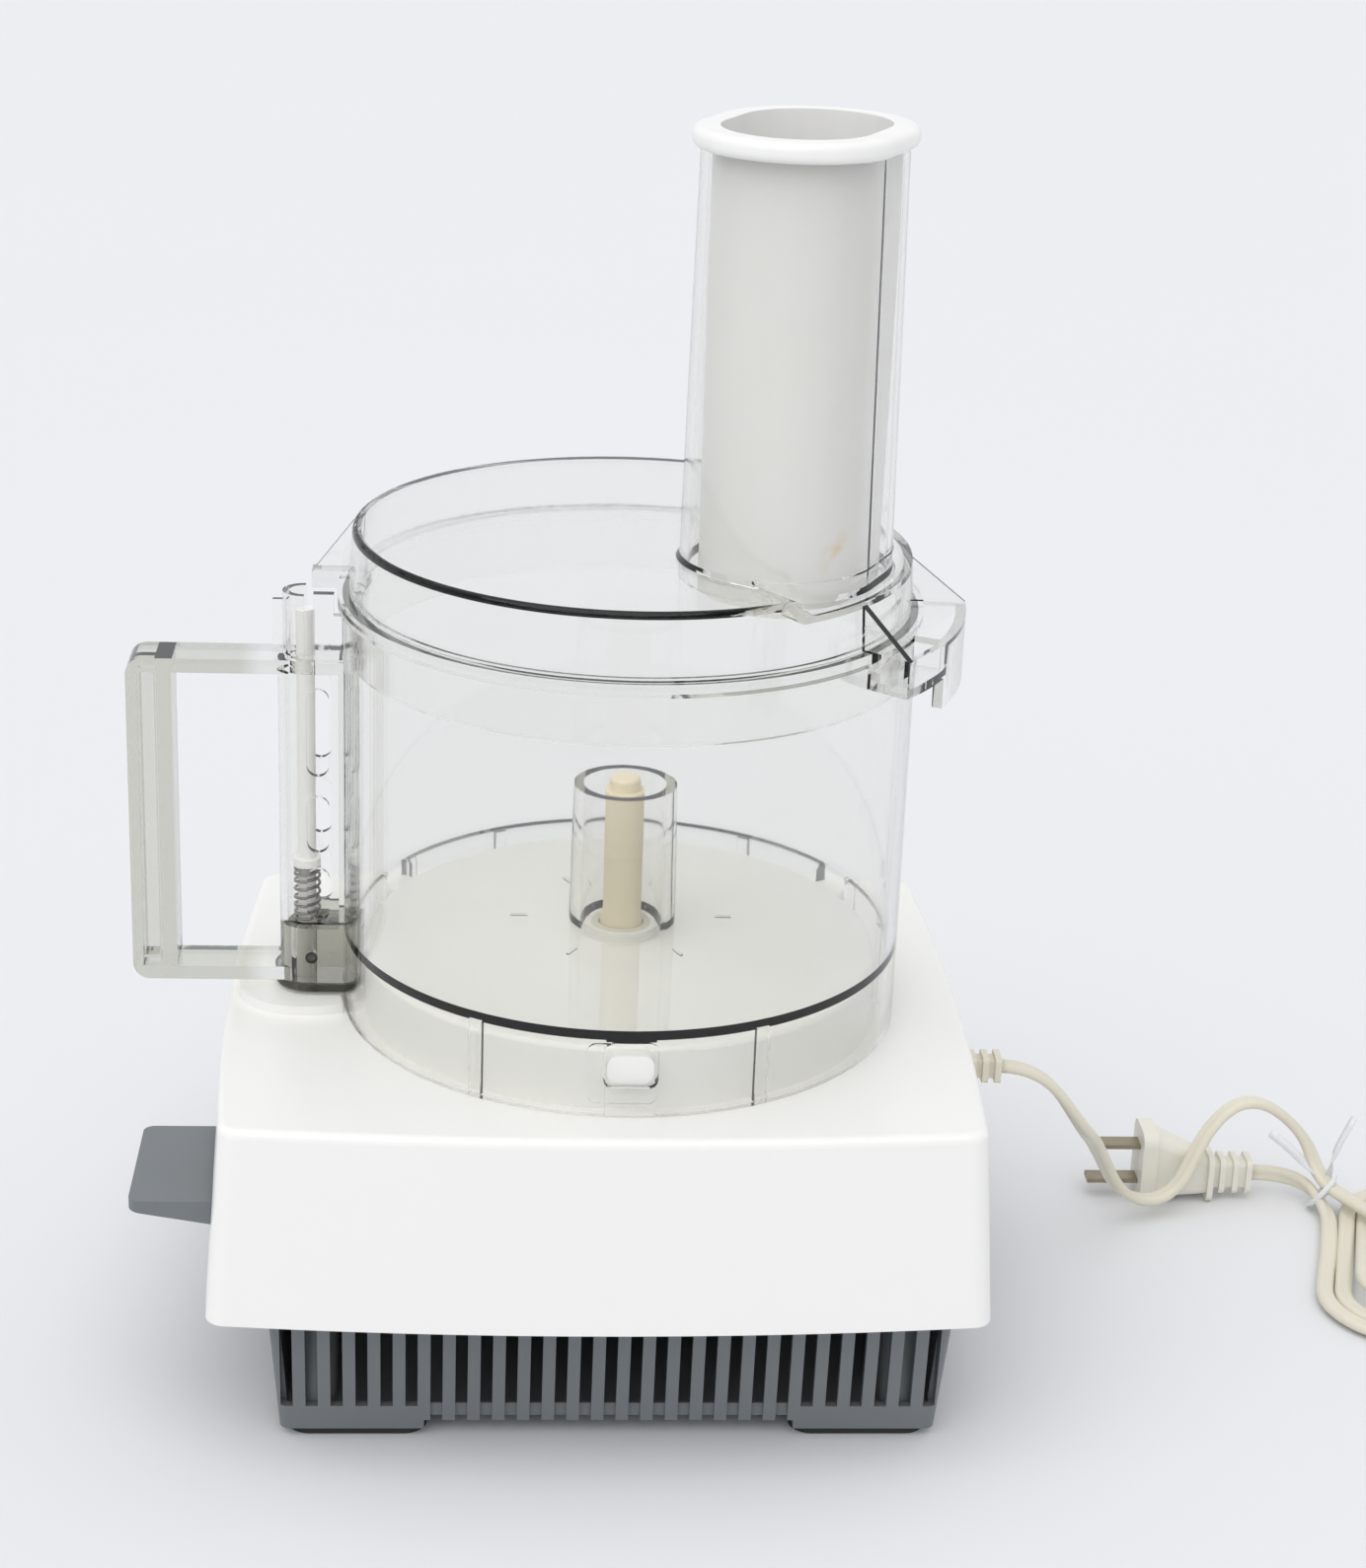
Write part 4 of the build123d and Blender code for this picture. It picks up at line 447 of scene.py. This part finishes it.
def hank_points():
    """Corners of the hank's loops, four to a lobe and two to a run."""
    flat = [(20.0, -14.0, HANK_HIGH)]
    for number, (u, v, radius, start, z) in enumerate(HANK_LOBES):
        reach = radius / math.cos(math.radians(LOBE_STEP / 2))
        lead_in = radius * math.tan(math.radians(LOBE_STEP / 2))
        side = math.cos(math.radians(start))
        if number > 0:
            flat.append((u + radius * side, v + side * lead_in, z))
        for corner in range(4):
            angle = math.radians(start - LOBE_STEP * (corner + 0.5))
            flat.append((u + reach * math.cos(angle), v + reach * math.sin(angle), z))
        flat.append((u - radius * side, v + side * lead_in, z))
    turn = Matrix.Rotation(math.radians(HANK_TURN), 2)
    placed = []
    for u, v, z in flat:
        spot = turn @ Vector((u, v))
        placed.append((HANK_AT[0] + spot.x, HANK_AT[1] + spot.y, z))
    return placed


def smooth_line(route):
    """Points along a smooth curve that is drawn through the middle of each run of a route."""
    curve = bpy.data.curves.new("route", "CURVE")
    curve.dimensions = "3D"
    curve.resolution_u = 8
    spline = curve.splines.new("NURBS")
    spline.points.add(len(route) - 1)
    for point, spot in zip(spline.points, route):
        point.co = (*place(*spot), 1.0)
    spline.order_u = 3
    spline.use_endpoint_u = True
    holder = link("route", curve)
    bpy.context.view_layer.update()
    plain = bpy.data.meshes.new_from_object(holder.evaluated_get(bpy.context.evaluated_depsgraph_get()))
    line = [v.co.copy() for v in plain.vertices]
    bpy.data.objects.remove(holder)
    bpy.data.meshes.remove(plain)
    return line


def twin_section(steps=9):
    """Outline of the flat twin cord: two round cores with a groove between them."""
    radius = CORD_THICK / 2
    middle = CORD_WIDE / 2 - radius
    closing = math.degrees(math.acos(0.82 * middle / radius))
    outline = []
    for side in (1, -1):
        first = -180 + closing if side > 0 else closing
        last = 180 - closing if side > 0 else 360 - closing
        for step in range(steps):
            angle = math.radians(first + (last - first) * step / (steps - 1))
            outline.append((side * middle + radius * math.cos(angle), radius * math.sin(angle)))
    return outline


def lengths_along(line):
    """Distance from the start for each point of a line."""
    total = [0.0]
    for a, b in zip(line, line[1:]):
        total.append(total[-1] + (b - a).length)
    return total


def sweep_section(name, line, section, leans, across=None):
    """A tube of an outline along a line, with its width level or along a direction, and leaning."""
    points = []
    faces = []
    count = len(section)
    for number, spot in enumerate(line):
        before = line[max(number - 1, 0)]
        after = line[min(number + 1, len(line) - 1)]
        ahead = (after - before).normalized()
        wide = across - ahead * across.dot(ahead) if across else Vector((0, 0, 1)).cross(ahead)
        wide.normalize()
        wide = Matrix.Rotation(leans[number], 3, ahead) @ wide
        thin = ahead.cross(wide)
        points += [spot + (wide * w + thin * t) * MM for w, t in section]
        if number:
            for corner in range(count):
                beside = (corner + 1) % count
                low = (number - 1) * count
                high = number * count
                faces.append((low + corner, low + beside, high + beside, high + corner))
    faces.append(tuple(range(count))[::-1])
    faces.append(tuple(range(len(points) - count, len(points))))
    return mesh_object(name, points, faces)


def power_cord():
    """The whole cord, turned on edge where it enters the plug."""
    line = smooth_line([*LEAD_ROUTE, *hank_points(), *TAIL_ROUTE])
    along = lengths_along(line)
    leans = []
    for distance in along:
        left = along[-1] - distance
        share = max(0.0, min(1.0, (EDGE_FROM - left) / EDGE_OVER))
        leans.append(math.radians(90) * share * share * (3 - 2 * share))
    cord = sweep_section("power_cord", line, twin_section(), leans)
    cord.data.materials.append(CORD)
    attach(cord, "base")
    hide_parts("power_lead", "cord_hank", "plug_tail")


power_cord()


# Tie: a paper-covered wire round the lead and the tail, twisted once and with both ends standing up

TIE_MIDDLE = Vector((240.4, 60.1, 7.9))
TIE_ALONG = Vector((0.43, -0.82, -0.36)).normalized()
TIE_RISE = Vector((0.62, -0.1, 0.77))
TIE_TIPS = (((231.0, 58.5, 21.5), (222.0, 59.7, 28.0)), ((243.0, 57.8, 21.0), (249.7, 59.5, 34.0)))
TIE_KNOT_OUT = 5.0
TIE_CROSS_OUT = 0.8
TIE_LOOP_OUT = 3.9
TIE_LOOP_HIGH = 6.6
TIE_SLACK = 2.6
TIE_LOOP_STEPS = 10
TIE_TWIST = 0.5
TIE_TWIST_REACH = 6.0 * MM
TIE_END = 22.0 * MM
TIE_END_OVER = 8.0 * MM
TIE_END_LEAN = math.radians(75)
TIE_SECTION = (
    (1.5, 0.14), (0.6, 0.18), (0.32, 0.45), (-0.32, 0.45), (-0.6, 0.18), (-1.5, 0.14),
    (-1.5, -0.14), (-0.6, -0.18), (-0.32, -0.45), (0.32, -0.45), (0.6, -0.18), (1.5, -0.14),
)


def twist_tie():
    """The tie as one ribbon: end, knot, loop, knot, end."""
    rise = (TIE_RISE - TIE_ALONG * TIE_RISE.dot(TIE_ALONG)).normalized()
    front = rise.cross(TIE_ALONG)
    knot = TIE_MIDDLE + front * TIE_KNOT_OUT
    loop = []
    for step in range(1, TIE_LOOP_STEPS):
        angle = 2 * math.pi * step / TIE_LOOP_STEPS
        slack = TIE_ALONG * TIE_SLACK * (1 - math.cos(angle))
        out = front * TIE_LOOP_OUT * math.cos(angle) + rise * TIE_LOOP_HIGH * math.sin(angle)
        loop.append(TIE_MIDDLE + out + slack)
    left, right = TIE_TIPS
    crossed = knot + front * TIE_CROSS_OUT
    line = smooth_line([left[1], left[0], knot, *loop, crossed, right[0], right[1]])
    crossing = place(*knot)
    along = lengths_along(line)
    leans = []
    turned = 0.0
    for number, spot in enumerate(line):
        near = max(0.0, 1 - (spot - crossing).length / TIE_TWIST_REACH)
        turned += (along[number] - along[max(number - 1, 0)]) / MM * near * TIE_TWIST
        from_tip = min(along[number], along[-1] - along[number])
        flat = max(0.0, min(1.0, (TIE_END - from_tip) / TIE_END_OVER))
        leans.append(turned + TIE_END_LEAN * flat)
    tie = sweep_section("twist_tie", line, TIE_SECTION, leans, TIE_ALONG)
    tie.data.materials.append(PAPER)
    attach(tie, "base")
    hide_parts("cord_tie")


twist_tie()


# Wound wire: two springs and the motor's windings


class Winding:
    """A geometry node tree that is put together one node at a time."""

    def __init__(self, name, numbers, material):
        self.name = name
        self.numbers = numbers
        self.material = material
        self.tree = bpy.data.node_groups.new(name, "GeometryNodeTree")
        self.tree.interface.new_socket("Geometry", in_out="OUTPUT", socket_type="NodeSocketGeometry")
        for key in numbers:
            self.tree.interface.new_socket(key, in_out="INPUT", socket_type="NodeSocketFloat")
        self.tree.interface.new_socket("Material", in_out="INPUT", socket_type="NodeSocketMaterial")
        self.start = self.tree.nodes.new("NodeGroupInput")

    def node(self, kind, inputs=None, **settings):
        """A node with its settings, and with sockets or plain values for its inputs."""
        made = self.tree.nodes.new(kind)
        for key, value in settings.items():
            setattr(made, key, value)
        for key, value in (inputs or {}).items():
            if isinstance(value, bpy.types.NodeSocket):
                self.tree.links.new(value, made.inputs[key])
            else:
                made.inputs[key].default_value = value
        return made

    def take(self, key):
        return self.start.outputs[key]

    def math(self, operation, first, second=0.0):
        return self.node("ShaderNodeMath", {0: first, 1: second}, operation=operation).outputs[0]

    def point(self, x, y, z):
        return self.node("ShaderNodeCombineXYZ", {"X": x, "Y": y, "Z": z}).outputs[0]

    def share(self):
        return self.node("GeometryNodeSplineParameter").outputs["Factor"]

    def turning(self, turns):
        """Cosine and sine of the angle along a wire that goes round a number of times."""
        angle = self.math("MULTIPLY", self.math("MULTIPLY", self.share(), turns), 2 * math.pi)
        return self.math("COSINE", angle), self.math("SINE", angle)

    def wire(self, places, count, radius, sides):
        """A round wire through a number of places."""
        line = self.node("GeometryNodeCurvePrimitiveLine").outputs[0]
        line = self.node("GeometryNodeResampleCurve", {"Curve": line, "Count": count}).outputs[0]
        line = self.node("GeometryNodeSetPosition", {"Geometry": line, "Position": places}).outputs[0]
        ring = {"Resolution": sides, "Radius": radius}
        ring = self.node("GeometryNodeCurvePrimitiveCircle", ring).outputs[0]
        solid = {"Curve": line, "Profile Curve": ring, "Fill Caps": True}
        return self.node("GeometryNodeCurveToMesh", solid).outputs[0]

    def finish(self, geometry, body, slot, *replaced):
        """The wound shape as a plain mesh that rides on a body in place of nodes of the part."""
        plain = self.node("GeometryNodeRealizeInstances", {"Geometry": geometry}).outputs[0]
        named = {"Geometry": plain, "Material": self.take("Material")}
        self.node("NodeGroupOutput", {0: self.node("GeometryNodeSetMaterial", named).outputs[0]})
        piece = link(self.name, bpy.data.meshes.new(self.name))
        modifier = piece.modifiers.new(self.name, "NODES")
        modifier.node_group = self.tree
        values = {**self.numbers, "Material": self.material}
        for socket in self.tree.interface.items_tree:
            if socket.in_out == "INPUT":
                modifier[socket.identifier] = values[socket.name]
        bpy.context.view_layer.update()
        evaluated = piece.evaluated_get(bpy.context.evaluated_depsgraph_get())
        mesh = bpy.data.meshes.new_from_object(evaluated)
        piece.modifiers.clear()
        piece.data = mesh
        for polygon in mesh.polygons:
            polygon.use_smooth = True
        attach(piece, body)
        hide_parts(*replaced)
        return piece


SPRING_WIRE = 0.45 * MM
SPRING_TURN_POINTS = 20.0
SPRING_SIDES = 8


def coil_spring(name, node, turns, body):
    """A spring with closed ends in the place of a node."""
    low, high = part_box(node)
    foot = Vector(((low.x + high.x) / 2, (low.y + high.y) / 2, low.z))
    numbers = {
        "X": foot.x, "Y": foot.y, "Low": low.z, "High": high.z, "Wire": SPRING_WIRE, "Turns": turns,
        "Radius": (high.x - low.x) / 2 - SPRING_WIRE,
    }
    coil = Winding(name, numbers, SPRING_STEEL)
    cosine, sine = coil.turning(coil.take("Turns"))
    x = coil.math("ADD", coil.take("X"), coil.math("MULTIPLY", cosine, coil.take("Radius")))
    y = coil.math("ADD", coil.take("Y"), coil.math("MULTIPLY", sine, coil.take("Radius")))
    pitch = coil.math("MULTIPLY", coil.take("Wire"), 2.0)
    closed = coil.math("MULTIPLY", pitch, coil.take("Turns"))
    room = coil.math("SUBTRACT", coil.math("SUBTRACT", coil.take("High"), coil.take("Low")), pitch)
    eased = {"Value": coil.share()}
    eased = coil.node("ShaderNodeMapRange", eased, interpolation_type="SMOOTHSTEP").outputs[0]
    tight = coil.math("MULTIPLY", closed, coil.share())
    slack = coil.math("MULTIPLY", coil.math("SUBTRACT", room, closed), eased)
    first = coil.math("ADD", coil.take("Low"), coil.take("Wire"))
    z = coil.math("ADD", first, coil.math("ADD", tight, slack))
    count = coil.math("MULTIPLY", coil.take("Turns"), SPRING_TURN_POINTS)
    wire = coil.wire(coil.point(x, y, z), count, coil.take("Wire"), SPRING_SIDES)
    spring = coil.finish(wire, body, "steel", node)
    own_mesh(spring)


WINDING_TURN_POINTS = 10.0
WINDING_SIDES = 6
BUNDLE_STEPS = 72
BUNDLE_SIDES = 12


def motor_windings():
    """Copper wire wound round and round a ring, on both faces of the core."""
    numbers = {
        "X": DRIVE_X * MM, "Low": 34.1 * MM, "Step": 49.0 * MM, "Ring": 32.25 * MM, "Half Width": 3.9 * MM,
        "Half Height": 3.65 * MM, "Wire": 0.8 * MM, "Turns": 96.0,
    }
    coil = Winding("motor_windings", numbers, COPPER)
    around, aside = coil.turning(1.0)
    over, up = coil.turning(coil.take("Turns"))
    reach = coil.math("ADD", coil.take("Ring"), coil.math("MULTIPLY", over, coil.take("Half Width")))
    height = coil.math("MULTIPLY", up, coil.take("Half Height"))
    places = coil.point(coil.math("MULTIPLY", reach, around), coil.math("MULTIPLY", reach, aside), height)
    count = coil.math("MULTIPLY", coil.take("Turns"), WINDING_TURN_POINTS)
    wire = coil.wire(places, count, coil.take("Wire"), WINDING_SIDES)
    hoop = {"Resolution": BUNDLE_STEPS, "Radius": coil.take("Ring")}
    hoop = coil.node("GeometryNodeCurvePrimitiveCircle", hoop).outputs[0]
    bundle = {"Resolution": BUNDLE_SIDES, "Radius": coil.take("Half Height")}
    bundle = coil.node("GeometryNodeCurvePrimitiveCircle", bundle).outputs[0]
    core = coil.node("GeometryNodeCurveToMesh", {"Curve": hoop, "Profile Curve": bundle}).outputs[0]
    ring = coil.node("GeometryNodeJoinGeometry")
    for part in (wire, core):
        coil.tree.links.new(part, ring.inputs[0])
    spots = {
        "Count": 2,
        "Start Location": coil.point(coil.take("X"), 0.0, coil.take("Low")),
        "Offset": coil.point(0.0, 0.0, coil.take("Step")),
    }
    spots = coil.node("GeometryNodeMeshLine", spots).outputs[0]
    both = {"Points": spots, "Instance": ring.outputs[0]}
    both = coil.node("GeometryNodeInstanceOnPoints", both).outputs[0]
    coil.finish(both, "base", "copper", "stator_windings")


coil_spring("push_rod_spring", "rod_spring", 8.0, "bowl")
coil_spring("plunger_spring", "interlock_spring", 4.0, "base")
motor_windings()


# Floor and light

FLOOR_COLOUR = (0.775, 0.782, 0.80)
FLOOR_R = 9.0
FLOOR_SIDES = 96
ROOM_COLOUR = (0.98, 0.985, 1.0)
ROOM_LIGHT = 0.77
SEEN_COLOUR = (0.86, 0.875, 0.91)
SEEN_DIM = 0.2
# Where the seen room goes from dim to pale towards the far side, and from pale to dim above the horizon
SEEN_BANDS = (("Y", -0.7, 0.8, SEEN_DIM, 1.0), ("Z", 0.04, 0.16, 1.0, SEEN_DIM))
LAMP = 1.3
LAMP_SPREAD = math.radians(70)
LAMP_AIM = (0.25, 0.5, -1.0)
CLEAR_BOUNCES = 24


def floor():
    """Plain pale floor that keeps the shadow."""
    finish = Finish("floor_pale")
    soft = finish.noise(1.5, 2.0)
    finish.colour(finish.blend(soft, tuple(c * 0.985 for c in FLOOR_COLOUR), FLOOR_COLOUR))
    finish.set(roughness=0.75, specular_ior_level=0.2)
    points = [Vector((0, 0, 0))]
    faces = []
    for side in range(FLOOR_SIDES):
        angle = 2 * math.pi * side / FLOOR_SIDES
        points.append(Vector((FLOOR_R * math.cos(angle), FLOOR_R * math.sin(angle), 0)))
        faces.append((0, 1 + side, 1 + (side + 1) % FLOOR_SIDES))
    ground = mesh_object("floor", points, faces, smooth=False)
    ground.data.materials.append(finish.material)


def studio():
    """Pale room, dimmer above and behind the camera for gloss and clear plastic, and a soft lamp."""
    world = bpy.data.worlds.new("studio")
    world.use_nodes = True
    scene.world = world
    tree = world.node_tree
    tree.nodes.clear()

    def background(colour, strength):
        made = tree.nodes.new("ShaderNodeBackground")
        made.inputs["Color"].default_value = (*colour, 1.0)
        made.inputs["Strength"].default_value = strength
        return made

    def combine(operation, first, second):
        made = tree.nodes.new("ShaderNodeMath")
        made.operation = operation
        tree.links.new(first, made.inputs[0])
        if isinstance(second, float):
            made.inputs[1].default_value = second
        else:
            tree.links.new(second, made.inputs[1])
        return made.outputs[0]

    room = background(ROOM_COLOUR, ROOM_LIGHT)
    seen = background(SEEN_COLOUR, 1.0)
    parts = tree.nodes.new("ShaderNodeSeparateXYZ")
    tree.links.new(tree.nodes.new("ShaderNodeTexCoord").outputs["Generated"], parts.inputs[0])
    bands = []
    for axis, *limits in SEEN_BANDS:
        band = tree.nodes.new("ShaderNodeMapRange")
        band.interpolation_type = "SMOOTHSTEP"
        for key, value in zip(("From Min", "From Max", "To Min", "To Max"), limits):
            band.inputs[key].default_value = value
        tree.links.new(parts.outputs[axis], band.inputs["Value"])
        bands.append(band.outputs["Result"])
    tree.links.new(combine("MAXIMUM", *bands), seen.inputs["Strength"])

    path = tree.nodes.new("ShaderNodeLightPath").outputs
    straight = combine("MAXIMUM", path["Is Camera Ray"], path["Is Glossy Ray"])
    straight = combine("MAXIMUM", straight, path["Is Transmission Ray"])
    direct = combine("MULTIPLY", straight, combine("LESS_THAN", path["Diffuse Depth"], 0.5))
    mix = tree.nodes.new("ShaderNodeMixShader")
    tree.links.new(direct, mix.inputs[0])
    tree.links.new(room.outputs[0], mix.inputs[1])
    tree.links.new(seen.outputs[0], mix.inputs[2])
    out = tree.nodes.new("ShaderNodeOutputWorld")
    tree.links.new(mix.outputs[0], out.inputs["Surface"])

    lamp = bpy.data.lights.new("soft_lamp", "SUN")
    lamp.energy = LAMP
    lamp.angle = LAMP_SPREAD
    holder = link("soft_lamp", lamp)
    holder.rotation_euler = Vector(LAMP_AIM).to_track_quat("-Z", "Y").to_euler()


floor()
studio()
scene.view_settings.view_transform = "Standard"
scene.cycles.max_bounces = CLEAR_BOUNCES
scene.cycles.transmission_bounces = CLEAR_BOUNCES
scene.cycles.transparent_max_bounces = CLEAR_BOUNCES
